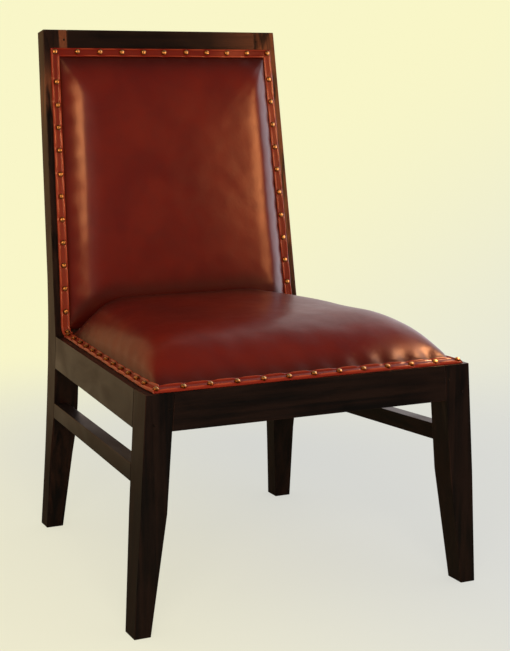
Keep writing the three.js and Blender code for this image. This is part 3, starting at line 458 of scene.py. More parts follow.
def finished_leather(name, deep, body, bright, worn, gloss):
    """Waxed chrome-tanned hide: clouded dye, fine pores, dull where it tucks under, and darkened with
    painted shade where a stored share says.
    """
    material, add = new_material(name)
    place = add("TexCoord", out="Object")
    tuck = add("Attribute", out="Fac", attribute_name="tuck")
    ridge = add("Attribute", out="Fac", attribute_name="ridge")
    # Dye clouds of about 90 mm and 14 mm, pores of 1.6 mm (real ones are 0.5 mm), creases of 7 mm
    cloud = add("TexNoise", {"Vector": place, "Scale": 11, "Detail": 2, "Distortion": 0.4})
    mottle = add("TexNoise", {"Vector": place, "Scale": 60, "Detail": 2})
    pores = add("TexNoise", {"Vector": place, "Scale": 480, "Detail": 1})
    folds = add("TexVoronoi", {"Vector": place, "Scale": 170, "Smoothness": 1},
                feature="SMOOTH_F1")
    cloud_share = add("MapRange", [cloud, 0.3, 0.7], interpolation_type="SMOOTHSTEP")
    dye = add("Mix", {0: cloud_share, 6: body, 7: bright}, 2, data_type="RGBA")
    mottle_share = add("MapRange", [mottle, 0.35, 0.75, 0, 0.12])
    mottled = add("Mix", {0: mottle_share, 6: dye, 7: deep}, 2, data_type="RGBA")
    # ridge lightens the bands' beads towards the worn colour, partly as rubbing and partly as painted
    # highlight
    rubbed = add("Mix", {0: ridge, 6: mottled, 7: worn}, 2, data_type="RGBA")
    # Painted shade: the stored share darkens the hide towards the deep colour
    with_painted_shade = add("Mix", {0: tuck, 6: rubbed, 7: deep}, 2, data_type="RGBA")
    polish = add("MapRange", [mottle, 0.3, 0.7, gloss - 0.01, gloss + 0.03])
    spread = add("Math", [tuck, 0.12, polish], operation="MULTIPLY_ADD")
    fold_height = add("MapRange", [folds, 0, 0.8, 0, 0.35])
    pore_height = add("Math", [pores, 0.5, fold_height], operation="MULTIPLY_ADD")
    height = add("Math", [pore_height, mottle], operation="ADD")
    return surfaced(material, add, height, 0.4, 0.0003,
                    {"Base Color": with_painted_shade, "Roughness": spread, "IOR": 1.48})


def puckered(along, run, nails, puff, reach, spread):
    """How far leather swells between the nails of a row, and is held down at each of them."""
    swell = run / reach * np.exp(1 - run / reach)
    held = np.zeros_like(along)
    for number, nail in enumerate(nails):
        strength = 1.05 + 0.35 * noise.noise(Vector((number * 1.37, puff * 900, 0.5)))
        held += strength * bell(along - nail, spread + 0.40 * run)
    return puff * swell * (1 - np.clip(held, 0, 1.25))


def spread_out(values, rows_at, columns_at, rows, columns):
    """Values at some rows and columns of a grid, carried smoothly to all of them."""
    everywhere = np.empty((rows, columns, 3))
    for axis in range(3):
        down = [np.interp(np.arange(rows), rows_at, line) for line in values[..., axis].T]
        over = [np.interp(np.arange(columns), columns_at, line) for line in np.array(down).T]
        everywhere[..., axis] = over
    for _ in range(2 * cloth_stride):
        for grid in (everywhere, everywhere.swapaxes(0, 1)):
            grid[1:-1] = (grid[:-2] + 2 * grid[1:-1] + grid[2:]) / 4
    return everywhere


def settled(sheet, held, most):
    """The hide as cloth that its filling has pressed out between the tacks, by most at most."""
    rows, columns = sheet.shape[:2]
    rows_at = np.unique(np.linspace(0, rows - 1, rows // cloth_stride).astype(int))
    columns_at = np.unique(np.linspace(0, columns - 1, columns // cloth_stride).astype(int))
    chosen = np.ix_(rows_at, columns_at)
    start = sheet[chosen]
    hide = linked("hide", grid_mesh("hide", start))
    tacks = hide.vertex_groups.new(name="tacks")
    for index, weight in enumerate(held[chosen].ravel()):
        tacks.add([index], float(weight), "REPLACE")
    filling = hide.modifiers.new("filling", "CLOTH")
    feel = {
        "quality": 5, "mass": 0.3, "tension_stiffness": 15, "compression_stiffness": 15,
        "shear_stiffness": 7, "bending_stiffness": 0.5, "use_pressure": True,
        "uniform_pressure_force": filling_pressure, "vertex_group_mass": "tacks",
        "pin_stiffness": 1,
    }
    for name, value in feel.items():
        setattr(filling.settings, name, value)
    filling.settings.effector_weights.gravity = 0
    filling.collision_settings.use_collision = False
    filling.point_cache.frame_start = 1
    filling.point_cache.frame_end = settle_frames
    for number in range(1, settle_frames + 1):
        bpy.context.scene.frame_set(number)
    shown = hide.evaluated_get(bpy.context.evaluated_depsgraph_get())
    moved = points_of(shown.data).reshape(start.shape) - start
    bpy.data.objects.remove(hide)
    bpy.context.scene.frame_set(1)
    moved *= min(1, most / max(np.linalg.norm(moved, axis=-1).max(), 1e-9))
    return sheet + spread_out(moved, rows_at, columns_at, rows, columns)


def leather_piece(name, points, tuck, node, fill):
    """A hide through a grid of points, duller and darkened by painted shade where its share says, with
    its thickness inside.
    """
    mesh = grid_mesh(name, points)
    store(mesh, "tuck", tuck)
    piece = new_piece(name, mesh, oxblood)
    modified(piece, "SOLIDIFY", thickness=leather_thickness, offset=-1, use_even_offset=False)
    fitted(piece, "leather", node, fill=fill)


oxblood = finished_leather("oxblood_waxed_leather", "#260704", "#5a0f06", "#641406", "#7a2410", 0.29)
up_share = (closer_at_ends(sheet_steps + 30)[:, None] + 1) / 2
pad_up = pad_low + (pad_high - pad_low) * up_share
pad_x = back_pad_half(pad_up) * closer_at_ends(sheet_steps)[None, :]
back_sheet = back_places(pad_x, pad_up, back_height(pad_x, pad_up))
from_edge = nearest(*runs(back_sheet, 1), *runs(back_sheet, 0))
back_sheet = settled(back_sheet, bell(from_edge, tack_width), back_swell)
from_left, from_right = runs(back_sheet, 1)
from_top = runs(back_sheet, 0)[1]
side_nails = np.linspace(back_low_edge, back_top_edge - band_width / 2, back_side_gaps + 1)
top_half = stile_half(back_top_edge) - side_reveal - band_width / 2
top_nails = np.linspace(-top_half, top_half, back_top_gaps + 1)
up_there = np.broadcast_to(pad_up, pad_x.shape)
puff = puckered(up_there, from_left, side_nails, *back_pucker)
puff += puckered(up_there, from_right, side_nails, *back_pucker)
puff += puckered(pad_x, from_top, top_nails, *back_pucker)
unevenness = 0.0011 * wave(back_sheet, 0.085, 1) + 0.00035 * wave(back_sheet, 0.03, 2)
from_edge = nearest(from_left, from_right, from_top)
unevenness *= np.clip(from_edge / 0.03, 0, 1)
back_sheet = back_sheet + facing(back_sheet) * (unevenness + puff)[..., None]
back_from_edge = nearest(from_edge, runs(back_sheet, 0)[0])

flange_x = stile_half(pad_up) - side_reveal - tack_margin
left_flange = back_places(-flange_x, pad_up, flange_out)
right_flange = back_places(flange_x, pad_up, flange_out)
back_grid = np.concatenate([left_flange, back_sheet, right_flange], axis=1)
low_flange = back_places(back_grid[:1, :, 0], back_low_edge, flange_out)
top_flange = back_places(back_grid[-1:, :, 0], back_top_edge - tack_margin, flange_out)
back_grid = np.concatenate([low_flange, back_grid, top_flange], axis=0)
seat_line = 0.075 * rolled(back_pad_half(pad_up) - np.abs(pad_x), 0.11, 2.4, 0.5)
# Painted shade: darker near the tacked edges, under the top band where the top rolls over, and low
# down where the seat meets the back
tuck = np.ones(back_grid.shape[:2])
tuck[1:-1, 1:-1] = np.maximum.reduce([
    np.exp(-from_edge / 0.007), 0.95 * bell(from_top, 0.034),
    0.75 * bell(np.maximum(pad_up - seat_line, 0), 0.022),
])
leather_piece("back_cushion", back_grid, tuck * 0.8, "back_leather", 0.9)

# Seat cushion: a thick block of foam crowned with wadding, under one hide that is drawn down at
# the front and sides, tacked to the top of the aprons, and tucked under the back at the rear.
# The leather is pulled in at each nail and puffs up between them.
leg_depth = 0.053
seat_half_front = 0.2945
seat_half_rear = 0.2595
seat_crown = 0.0750
seat_rear_fall = 0.0025
seat_side_roll = 0.110
seat_side_power = 2.4
seat_side_fullness = 0.30
seat_corner_fullness = 0.7
seat_corner_power = 4
seat_front_roll = 0.190
seat_front_power = 2.4
seat_front_fullness = 0.86
corner_fill = 0.36
rear_corner_fall = 0.75
rear_corner_reach = 0.050
rear_tuck_roll = 0.012
front_reveal = 0.0005
seat_pad_front = front_reveal + band_width + skin_gap
lift = seat_level + skin_gap + leather_thickness
seat_rows = 200
seat_columns = 190
seat_front_gaps = 12
seat_side_gaps = 11
front_pucker = (0.0032, 0.014, 0.008)
side_pucker = (0.0008, 0.014, 0.008)
seat_swell = 0.0045
least_back = flange_out + 0.003


def seat_half(y):
    """Half width of the seat leather at a distance behind the front of the chair."""
    share = np.maximum((y - leg_depth) / (chair_depth - leg_depth), 0)
    return seat_half_front + (seat_half_rear - seat_half_front) * share - side_reveal


def seat_pad_half(y):
    return seat_half(y) - band_width - skin_gap


def seat_height(x, y):
    """Height of the seat leather, with y from the front of the chair."""
    in_side = seat_pad_half(y) - np.abs(x)
    back_share = y / chair_depth
    corner_share = np.clip(back_share, 0, 1) ** seat_corner_power
    fullness = seat_side_fullness + (seat_corner_fullness - seat_side_fullness) * corner_share
    across = rolled(in_side, seat_side_roll, seat_side_power, fullness)
    along = rolled(y - seat_pad_front, seat_front_roll, seat_front_power, seat_front_fullness)
    crown = seat_crown - seat_rear_fall * back_share ** 2
    fuller = soft_least(across, along, 0.25)
    share = across * along * (1 - corner_fill) + fuller * corner_fill
    in_corner = (in_side ** 2 + (chair_depth - y) ** 2) / rear_corner_reach ** 2
    share = share * (1 - rear_corner_fall * np.exp(-in_corner))
    return lift + crown * np.clip(share, 0, 1)


def seat_rear_end(x_share):
    """Where the seat meets the back cushion, found by stepping to it."""
    y = np.full_like(x_share, chair_depth)
    for _ in range(30):
        x = x_share * seat_pad_half(y)
        up, out = in_back(np.stack([x, y + front_line, seat_height(x, y)], axis=-1))
        y = y - (np.maximum(back_height(x, up), least_back) - out) * 0.7
    return y


def clear_of_back(sheet, gap):
    """The sheet, pushed forward wherever it would reach into the back cushion."""
    up, out = in_back(sheet)
    least = np.maximum(back_height(sheet[..., 0], up), least_back) + gap
    moved = sheet.copy()
    moved[..., 1] -= np.maximum(least - out, 0) / math.cos(rake)
    moved[..., 2] = np.maximum(moved[..., 2], lift)
    return moved


x_share = closer_at_ends(seat_columns)
y_share = (closer_at_ends(seat_rows) + 1) / 2
rear_end = seat_rear_end(x_share)
seat_y = seat_pad_front + (rear_end[None, :] - seat_pad_front) * y_share[:, None]
seat_x = x_share[None, :] * seat_pad_half(seat_y)
rear_drop = rolled(rear_end[None, :] - seat_y, rear_tuck_roll, 2.6, 0.5)
seat_z = lift + (seat_height(seat_x, seat_y) - lift) * (0.25 + 0.75 * rear_drop)
seat_sheet = np.stack([seat_x, seat_y + front_line, seat_z], axis=-1)

front_half = seat_half_front - side_reveal - band_width / 2
front_nails = np.linspace(-front_half, front_half, seat_front_gaps + 1)
from_front, from_rear = runs(seat_sheet, 0)
held = bell(nearest(*runs(seat_sheet, 1), from_front, from_rear), tack_width)
for nail in front_nails:
    near_nail = ((seat_x - nail) / 0.007) ** 2 + (from_front / 0.014) ** 2
    held = np.maximum(held, np.exp(-near_nail))
seat_sheet = settled(seat_sheet, held, seat_swell)
from_front, from_rear = runs(seat_sheet, 0)
from_left, from_right = runs(seat_sheet, 1)
side_run = chair_depth - 0.007 - band_width / 2
seat_side_nails = band_width / 2 + side_run * np.arange(seat_side_gaps + 1) / seat_side_gaps
puff = puckered(seat_x, from_front, front_nails, *front_pucker)
puff *= np.clip(0.3 + (seat_x + 0.02) / 0.22, 0.3, 1)
for run in (from_left, from_right):
    puff += puckered(seat_y, run, seat_side_nails, *side_pucker)
unevenness = 0.0016 * wave(seat_sheet, 0.11, 3) + 0.0005 * wave(seat_sheet, 0.035, 4)
from_edge = nearest(from_left, from_right, from_front, from_rear)
unevenness *= np.clip(from_edge / 0.035, 0, 1)
seat_sheet = seat_sheet + facing(seat_sheet) * (unevenness + puff)[..., None]
seat_sheet = clear_of_back(seat_sheet, 0.0020)

flange_y = np.minimum(seat_y[:, :1], chair_depth - 0.0005)
left_flange = np.stack([
    tack_margin - seat_half(flange_y), seat_sheet[:, :1, 1], np.full((seat_rows, 1), lift),
], -1)
right_flange = left_flange * np.array([-1, 1, 1])
seat_grid = np.concatenate([left_flange, seat_sheet, right_flange], axis=1)
# The leather ends in a flange in front, and at the rear in a hem and a flap under the back
hems = seat_grid[[0, -1, -1]]
hems[..., 2] = lift
hems[0, :, 1] = front_line + front_reveal + tack_margin
hems[2, :, 1] = stile_line - 0.0008
seat_grid = np.concatenate([hems[:1], seat_grid, hems[1:]], axis=0)
# Painted shade darkens the seat near its edges, towards the back cushion, just behind the front band,
# and in a patch at the left of its rear half
shade_patch = ((seat_x + 0.13) / 0.085) ** 2 + ((seat_y - 0.315) / 0.11) ** 2
tuck = np.ones(seat_grid.shape[:2])
tuck[1:-2, 1:-1] = np.maximum.reduce([
    np.exp(-from_edge / 0.007), bell(from_rear, 0.13), 0.9 * bell(from_front, 0.032),
    0.42 * np.exp(-shade_patch),
])
leather_piece("seat_cushion", seat_grid, tuck * 0.8, "seat_leather", 0.85)

# Foam under the hides: cream open-cell upholstery foam, cut to the shape that the leather keeps.
# It lies on the boards and stops a few millimetres short of the leather's edge.
foam_gap = 0.0026
foam_short = 0.005
foam_stride = 3
foam_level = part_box("seat_foam")[0].z
foam_out = in_back(points_of(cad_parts["back_foam"].data))[1].min()


def open_cell_foam():
    """Foam of cells of about 1.4 mm, yellowed in clouds of 70 mm."""
    material, add = new_material("cream_open_cell_foam")
    place = add("TexCoord", out="Object")
    cells = add("TexVoronoi", {"Vector": place, "Scale": 700})
    aged = add("TexNoise", {"Vector": place, "Scale": 14, "Detail": 3, "Roughness": 0.6})
    body = add("Mix", {0: aged, 6: "#e6d9ae", 7: "#cdb67e"}, 2, data_type="RGBA")
    # Painted shade darkens the hollows of the cells
    cell_shade = add("MapRange", [cells, 0, 0.5, 0.78, 1.05])
    colour = add("Mix", {0: 1, 6: body, 7: cell_shade}, 2, data_type="RGBA", blend_type="MULTIPLY")
    return surfaced(material, add, cells, 0.6, 0.0006, {"Base Color": colour, "Roughness": 0.95})


def closed_mesh(name, points, faces):
    """A mesh whose faces are turned to point outwards."""
    mesh = bpy.data.meshes.new(name)
    mesh.from_pydata(points, [], faces)
    shape = bmesh.new()
    shape.from_mesh(mesh)
    bmesh.ops.recalc_face_normals(shape, faces=shape.faces)
    return as_mesh(name, shape)


def foam_block(name, sheet, from_edge, flat, node):
    """Foam that fills the room under a hide down to a flat base, a little short of it all round."""
    inner = sheet - facing(sheet) * foam_gap
    kept = from_edge > foam_short
    rows_in, columns_in = np.where(kept.any(1))[0], np.where(kept.any(0))[0]
    inner = inner[rows_in[0]:rows_in[-1] + 1:foam_stride]
    inner = inner[:, columns_in[0]:columns_in[-1] + 1:foam_stride]
    rows, columns = inner.shape[:2]
    index = np.arange(rows * columns).reshape(rows, columns)
    faces = squares(rows, columns)
    rim = np.concatenate([index[0], index[1:, -1], index[-1, -2::-1], index[-2:0:-1, 0]])
    points = inner.reshape(-1, 3)
    feet = np.arange(len(rim)) + len(points)
    sides = [np.roll(rim, -1), rim, feet, np.roll(feet, -1)]
    faces += np.stack(sides, axis=-1).tolist() + [feet.tolist()]
    mesh = closed_mesh(name, points.tolist() + flat(points[rim]).tolist(), faces)
    piece = new_piece(name, mesh, foam)
    piece.data.set_sharp_from_angle(angle=math.radians(50))
    fitted(piece, "foam", node, fill=1.0)


def down_to_board(rim):
    return np.concatenate([rim[:, :2], np.full((len(rim), 1), foam_level)], axis=1)


def in_to_board(rim):
    return back_places(rim[:, 0], in_back(rim)[0], foam_out)


foam = open_cell_foam()
foam_edge = nearest(from_edge, from_rear - 0.006)
foam_block("seat_foam_block", seat_sheet, foam_edge, down_to_board, "seat_foam")
foam_block("back_foam_block", back_sheet, back_from_edge, in_to_board, "back_foam")

# Banding: a strip of the same leather with both edges folded under, which leaves a rounded bead
# along each side and a channel between them. It covers the tacked edge of the hide and is held
# by the brass nails, which pinch it. The beads' crests are lighter orange, partly rubbed by
# handling and partly painted highlight.
bead_height = 0.0034
channel_height = 0.0012
bead_share = 0.25
band_step = 0.0022
pinch_reach = 0.0075
profile_steps = 28
front_rise = 0.006
rear_rise = 0.002
twist_end = 0.2
band_base = lift + skin_gap
back_band_base = flange_out + skin_gap
mitre_gap = 0.00045
lower_turn = 0.016
fold_drop = 0.0017
fold_share = 0.13


def along_line(values, line, runs_at):
    """A line's values, one for each of its points, at other runs along it."""
    return np.stack([np.interp(runs_at, line, values[:, i]) for i in range(3)], axis=-1)


def strip(outer, inner, up):
    """Lines of a band with points a band step apart, and the run along its middle."""
    lines = {"outer": outer, "inner": inner, "up": up}
    lines = {name: np.array(line, float) for name, line in lines.items()}
    middle = (lines["outer"] + lines["inner"]) / 2
    lengths = np.linalg.norm(np.diff(middle, axis=0), axis=-1)
    run = np.concatenate([[0], np.cumsum(lengths)])
    at = np.linspace(0, run[-1], max(int(run[-1] / band_step), 4))
    return {name: along_line(line, run, at) for name, line in lines.items()} | {"run": at}


def folded_band(node, line, nails, waviness, rub_and_light, seed):
    """A band along a strip's lines, pinched at its nails."""
    share = (1 - np.cos(np.linspace(0, math.pi, profile_steps))) / 2
    from_edge = np.minimum(share, 1 - share) / bead_share
    bead = np.sqrt(np.clip(1 - (2 * np.clip(from_edge, 0, 1) - 1) ** 2, 0, 1))
    pinch = sum(bell(line["run"] - nail, pinch_reach) for nail in nails)
    pinch = np.clip(pinch, 0, 1)[:, None]
    middle = (line["outer"] + line["inner"]) / 2
    sway = wave(middle, 0.030, seed)[:, None] * waviness
    swell = 1 + 0.22 * wave(middle, 0.022, seed + 1)[:, None]
    near_outer = np.clip(1 - share / 0.5, 0, 1)[None, :]
    top = channel_height + (bead_height - channel_height) * bead[None, :] * swell
    top = top * (1 - 0.50 * pinch * bead[None, :]) - 0.0003 * pinch * (1 - bead[None, :])
    top = top + np.abs(sway) * 0.5 * near_outer
    top[:, [0, -1]] = 0
    fold = -fold_drop * np.clip(1 - share / fold_share, 0, 1) ** 0.5
    top = top + np.where(share < bead_share / 2, fold, 0)[None, :]
    over = line["inner"] - line["outer"]
    across = line["outer"][:, None] + over[:, None] * share[None, :, None]
    across = across + (over / band_width)[:, None] * (sway * near_outer)[..., None]
    surface = across + line["up"][:, None] * top[..., None]
    under = across + line["up"][:, None] * fold[None, :, None]
    ring = np.concatenate([surface, under[:, ::-1][:, 1:-1]], axis=1)
    rows, columns = ring.shape[:2]
    index = np.arange(rows * columns).reshape(rows, columns)
    faces = squares(rows, columns, True) + [index[0, ::-1].tolist(), index[-1].tolist()]
    mesh = closed_mesh(f"{node}_folded", ring.reshape(-1, 3).tolist(), faces)
    height_share = np.zeros((rows, columns))
    height_share[:, :profile_steps] = bead[None, :] * (1 - 0.4 * pinch)
    # The crests are lightened partly as wear and partly as painted highlight; the band's share all
    # over and its peak add painted highlight and shade on the back's side bands
    wear_and_highlight = 0.55 + 0.45 * wave(middle, 0.05, seed + 2)[:, None]
    base, peak, axis, place, reach = rub_and_light
    rubbed = (base + peak * bell(middle[:, axis] - place, reach))[:, None]
    store(mesh, "ridge", np.clip(height_share * 4 - 3, 0, 1) * wear_and_highlight * 0.8 + rubbed)
    # Painted shade darkens the channel between the beads
    store(mesh, "tuck", np.clip(0.22 - height_share, 0, 1))
    fitted(new_piece(f"{node}_folded", mesh, banding), "band_leather", node)


def seat_spot(x, y, rise):
    return (x, y + front_line, band_base + rise)


def back_spot(x, up, out=0.0):
    return back_places(x, up, back_band_base + out)


def seat_side_strip(side):
    """From the front corner back along the side of the seat to where the back's band comes down."""
    end = chair_depth - back_band_base - lower_turn
    bend_rise = front_rise + (rear_rise - front_rise) * leg_depth / twist_end
    stops = [
        (front_reveal, front_reveal + band_width, front_rise), (leg_depth, leg_depth, bend_rise),
        (twist_end, twist_end, rear_rise), (end, end, rear_rise),
    ]
    outer = [seat_spot(side * seat_half(y), y, 0) for y, _, _ in stops]
    inner = [seat_spot(side * (seat_half(y) - band_width), v, rise) for y, v, rise in stops]
    return strip(outer, inner, [(0, 0, 1)] * len(stops))


def seat_front_strip():
    half = seat_half(0) - mitre_gap
    back = front_reveal + band_width
    outer = [seat_spot(side * half, front_reveal, 0) for side in (-1, 1)]
    inner = [seat_spot(side * (half - band_width), back, front_rise) for side in (-1, 1)]
    return strip(outer, inner, [(0, 0, 1)] * 2)


def back_side_strip(side):
    """Down the stile from the top corner, and round onto the side of the seat."""
    stops = [(back_top_edge, back_top_edge - band_width), (0.12, 0.12)]
    outer = [back_spot(side * (stile_half(high) - side_reveal), high) for high, _ in stops]
    inner = [
        back_spot(side * (stile_half(low) - side_reveal - band_width), low) for _, low in stops
    ]
    up = [out_of_back, out_of_back]
    half = stile_half(0) - side_reveal
    floor_up = in_back(np.array([0, stile_line, band_base]))[0]
    for share in np.linspace(0, 1, 9):
        turn = share * math.pi / 2
        height = floor_up + lower_turn * (1 - math.sin(turn))
        out = lower_turn * (1 - math.cos(turn))
        rise = np.array([0, 0, share * rear_rise])
        outer.append(back_spot(side * half, height, out))
        inner.append(back_spot(side * (half - band_width), height, out) + rise)
        up.append(out_of_back * math.cos(turn) + np.array([0, 0, 1]) * math.sin(turn))
    return strip(outer, inner, up)


def back_top_strip():
    low = back_top_edge - band_width
    half = stile_half(back_top_edge) - side_reveal - mitre_gap
    low_half = stile_half(low) - side_reveal - band_width - mitre_gap
    outer = [back_spot(side * half, back_top_edge) for side in (-1, 1)]
    inner = [back_spot(side * low_half, low) for side in (-1, 1)]
    return strip(outer, inner, [out_of_back] * 2)


def nail_runs(line, gaps, start, end, seed):
    """Runs along a strip of nails set by hand at near-even spaces."""
    places = start + (line["run"][-1] - end - start) * np.arange(gaps + 1) / gaps
    shift = [0.0020 * noise.noise(Vector((seed * 5.3, k * 1.9, 0.3))) for k in range(gaps + 1)]
    return places + np.array(shift)


banding = finished_leather("folded_leather_banding", "#300804", "#680e05", "#701607", "#a8482a", 0.21)
# For each band: its lines; its nails, as gaps, distances of the first and last from the ends and
# how far inside the middle they lie; the waviness of its outer edge; and how much lighter it is
# made, by rubbing and by painted highlight and shade, as a share all over, more at a peak, and
# the peak's axis, place and reach
bands = {
    "seat_band_front": (seat_front_strip(), (12, 0, 0, -0.0020), 0.0005, (0.10, 0, 0, 0, 1)),
    "seat_band_left": (
        seat_side_strip(-1), (11, 0.0475, 0.004, -0.0005), 0.0012, (0.30, 0, 0, 0, 1),
    ),
    "seat_band_right": (
        seat_side_strip(1), (11, 0.0475, 0.004, -0.0005), 0.0012, (0.20, 0, 0, 0, 1),
    ),
    "back_band_top": (back_top_strip(), (10, 0, 0, -0.0008), 0.0004, (0.05, 0.5, 0, 0.15, 0.035)),
    # The left band is made darker near its top with painted shade
    "back_band_left": (
        back_side_strip(-1), (11, 0.0555, 0.009, 0.0010), 0.0006, (0.34, -0.2, 2, 0.9, 0.1),
    ),
    # The right band is made lighter towards its top with painted highlight
    "back_band_right": (
        back_side_strip(1), (10, 0.0500, 0.035, 0.0014), 0.0005, (0.15, 0.3, 2, 0.88, 0.15),
    ),
}
nails_of = {}
for seed, (node, (line, (gaps, start, end, _), waviness, rub_and_light)) in enumerate(bands.items()):
    nails_of[node] = nail_runs(line, gaps, start, end, seed)
    folded_band(node, line, nails_of[node], waviness, rub_and_light, 10 + 2 * seed)

# Brass nails: domed heads of antiqued brass, driven by hand every 4 to 5 cm along the bands, so
# that no two stand quite alike. The heads are bright where hands and cloths reach, brown at the
# rim. The rows across the front and the top hold the nails of the corners too.
head_sizes = {"Head radius": 0.0050, "Head height": 0.0033, "Sink": 0.0016, "Tilt": 0.09}
head_stand = 0.0015


def antiqued_brass():
    """Cast brass, browned and rubbed bright again on the crown of each head."""
    material, add = new_material("antiqued_brass")
    rim = add("Attribute", out="Fac", attribute_name="rim")
    place = add("TexCoord", out="Object")
    # Spots of tarnish about 2.5 mm across
    spots = add("TexNoise", {"Vector": place, "Scale": 420, "Detail": 3, "Roughness": 0.7})
    rim_share = add("MapRange", [rim, 0.55, 1], interpolation_type="SMOOTHSTEP")
    spot_share = add("MapRange", [spots, 0.52, 0.75, 0, 0.55])
    brown_share = add("Math", [rim_share, spot_share], operation="MAXIMUM")
    colour = add("Mix", {0: brown_share, 6: "#f6d698", 7: "#8a5a2a"}, 2, data_type="RGBA")
    spread = add("MapRange", [brown_share, 0, 1, 0.46, 0.6])
    return surfaced(material, add, spots, 0.2, 0.0001,
                    {"Base Color": colour, "Metallic": 1, "Roughness": spread})


def new_tree(name, sizes):
    """An empty tree of Geometry Nodes, what adds nodes to it, and its inputs."""
    tree = bpy.data.node_groups.new(name, "GeometryNodeTree")
    for title, kind in {"Geometry": "Geometry", **sizes}.items():
        tree.interface.new_socket(title, in_out="INPUT", socket_type=f"NodeSocket{kind}")
    tree.interface.new_socket("Geometry", in_out="OUTPUT", socket_type="NodeSocketGeometry")
    add = functools.partial(add_node, tree)
    return tree, add, add("NodeGroupInput", out=None)


def on_points(add, points, part, way, material):
    """Sets a part on each point, its top facing that way, and ends the tree."""
    turn = add("FunctionNodeAlignRotationToVector", {"Vector": way}, axis="Z")
    placed = add("GeometryNodeInstanceOnPoints", {
        "Points": points, "Instance": part, "Rotation": turn,
    })
    real = add("GeometryNodeRealizeInstances", [placed])
    coated = add("GeometryNodeSetMaterial", {"Geometry": real, "Material": material})
    add("NodeGroupOutput", [coated], None)


def nail_tree(material):
    """A domed head for each point of a mesh, facing as the point says and leaning a little."""
    sizes = dict.fromkeys(head_sizes, "Float") | {"Seed": "Int"}
    tree, add, given = new_tree("domed_nails", sizes)
    radius = given["Head radius"]
    ball = add("GeometryNodeMeshUVSphere", {"Segments": 28, "Rings": 18, "Radius": radius})
    x, y, z = add("SeparateXYZ", [add("GeometryNodeInputPosition")], None)
    reach = add("VectorMath", [add("CombineXYZ", [x, y])], "Value", operation="LENGTH")
    rim = add("Math", [reach, radius], operation="DIVIDE")
    marked = add("GeometryNodeStoreNamedAttribute", {
        "Geometry": ball, "Name": "rim", "Value": rim,
    }, data_type="FLOAT", domain="POINT")
    squash = add("Math", [given["Head height"], radius], operation="DIVIDE")
    domed = add("Math", [z, squash], operation="MULTIPLY")
    above = add("Math", [z, -0.00001], operation="GREATER_THAN")
    sunk = add("Math", [0, given["Sink"]], operation="SUBTRACT")
    level = add("Mix", {0: above, 2: sunk, 3: domed}, data_type="FLOAT")
    spot = add("CombineXYZ", [x, y, level])
    head = add("GeometryNodeSetPosition", {"Geometry": marked, "Position": spot})
    smooth = add("GeometryNodeSetShadeSmooth", {"Geometry": head})
    way = add("GeometryNodeInputNamedAttribute", {"Name": "facing"}, "Attribute",
              data_type="FLOAT_VECTOR")
    low_tilt = add("Math", [0, given["Tilt"]], operation="SUBTRACT")
    lean = add("FunctionNodeRandomValue", {0: low_tilt, 1: given["Tilt"], "Seed": given["Seed"]},
               data_type="FLOAT_VECTOR")
    on_points(add, given["Geometry"], smooth, add("VectorMath", [way, lean]), material)
    return tree


def set_on_points(name, spots, ways, tree, sizes):
    """A piece that a tree of Geometry Nodes makes at points, each with the way it faces."""
    points = bpy.data.meshes.new(name)
    points.from_pydata(spots.tolist(), [], [])
    store(points, "facing", ways, "FLOAT_VECTOR")
    piece = linked(name, points)
    made = piece.modifiers.new("made", "NODES")
    made.node_group = tree
    for item in tree.interface.items_tree:
        if item.in_out == "INPUT" and item.name in sizes:
            made[item.identifier] = sizes[item.name]
    return apply_modifiers(piece)


def nails_on(name, line, places, inset, seed):
    """The heads of one row, on the band's channel and square to it."""
    middle = (line["outer"] + line["inner"]) / 2
    over = line["inner"] - line["outer"]
    normal = np.cross(np.gradient(middle, axis=0), over)
    normal /= np.linalg.norm(normal, axis=-1, keepdims=True)
    turned = np.sum(normal * line["up"], axis=-1, keepdims=True)
    normal = np.where(turned < 0, -normal, normal)
    at = np.clip(places, line["run"][0], line["run"][-1])
    ways = along_line(normal, line["run"], at)
    sides = np.array([noise.noise(Vector((seed * 2.1, k * 2.7, 0.8))) for k in range(len(places))])
    spots = along_line(middle, line["run"], at) + ways * (channel_height + head_stand)
    spots += along_line(over / band_width, line["run"], at) * (inset + 0.0009 * sides[:, None])
    return set_on_points(name, spots, ways, heads, head_sizes | {"Seed": seed})


heads = nail_tree(antiqued_brass())
corner_nodes = {
    "seat_band_front": ("corner_nail_seat_left", "corner_nail_seat_right"),
    "back_band_top": ("corner_nail_back_left", "corner_nail_back_right"),
}
for seed, (node, (line, (*_, inset), _, _)) in enumerate(bands.items()):
    row = nails_on(node.replace("band", "nails"), line, nails_of[node], inset, 20 + seed)
    fitted(row, "nail_brass", *corner_nodes.get(node, ()))

# Outside back: the same leather over a thin wadding and a board, drawn round the board's edges
# and tacked behind it, then let in between the stiles.
outside_front = 0.0286
outside_depth = 0.0053
outside_crown = 0.0014
outside_roll = 0.006
outside_top = stile_length - 0.022
outside_low = 0.0162
outside_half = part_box("outside_back_leather")[1].x

share_up = ((closer_at_ends(120) + 1) / 2)[:, None]
share_across = closer_at_ends(100)[None, ::-1]
panel_up = outside_low + (outside_top - outside_low) * share_up + 0 * share_across
panel_x = outside_half * share_across + 0 * share_up
to_edge = nearest(outside_half - np.abs(panel_x), panel_up - outside_low, outside_top - panel_up)
bulge = np.sin(math.pi * share_up) * np.cos(math.pi / 2 * share_across)
panel_out = outside_depth * (rolled(to_edge, outside_roll, 2.0, 0.5) - 0.04)
panel = back_places(panel_x, panel_up, -outside_front - panel_out - outside_crown * bulge)
panel = panel + facing(panel) * (0.0002 * wave(panel, 0.06, 7) * bulge)[..., None]
# Painted shade darkens the panel at its edges, where it turns round the board
panel_tuck_and_shade = 0.6 * np.exp(-to_edge / 0.004)
leather_piece("outside_back", panel, panel_tuck_and_shade, "outside_back_leather", 0.3)


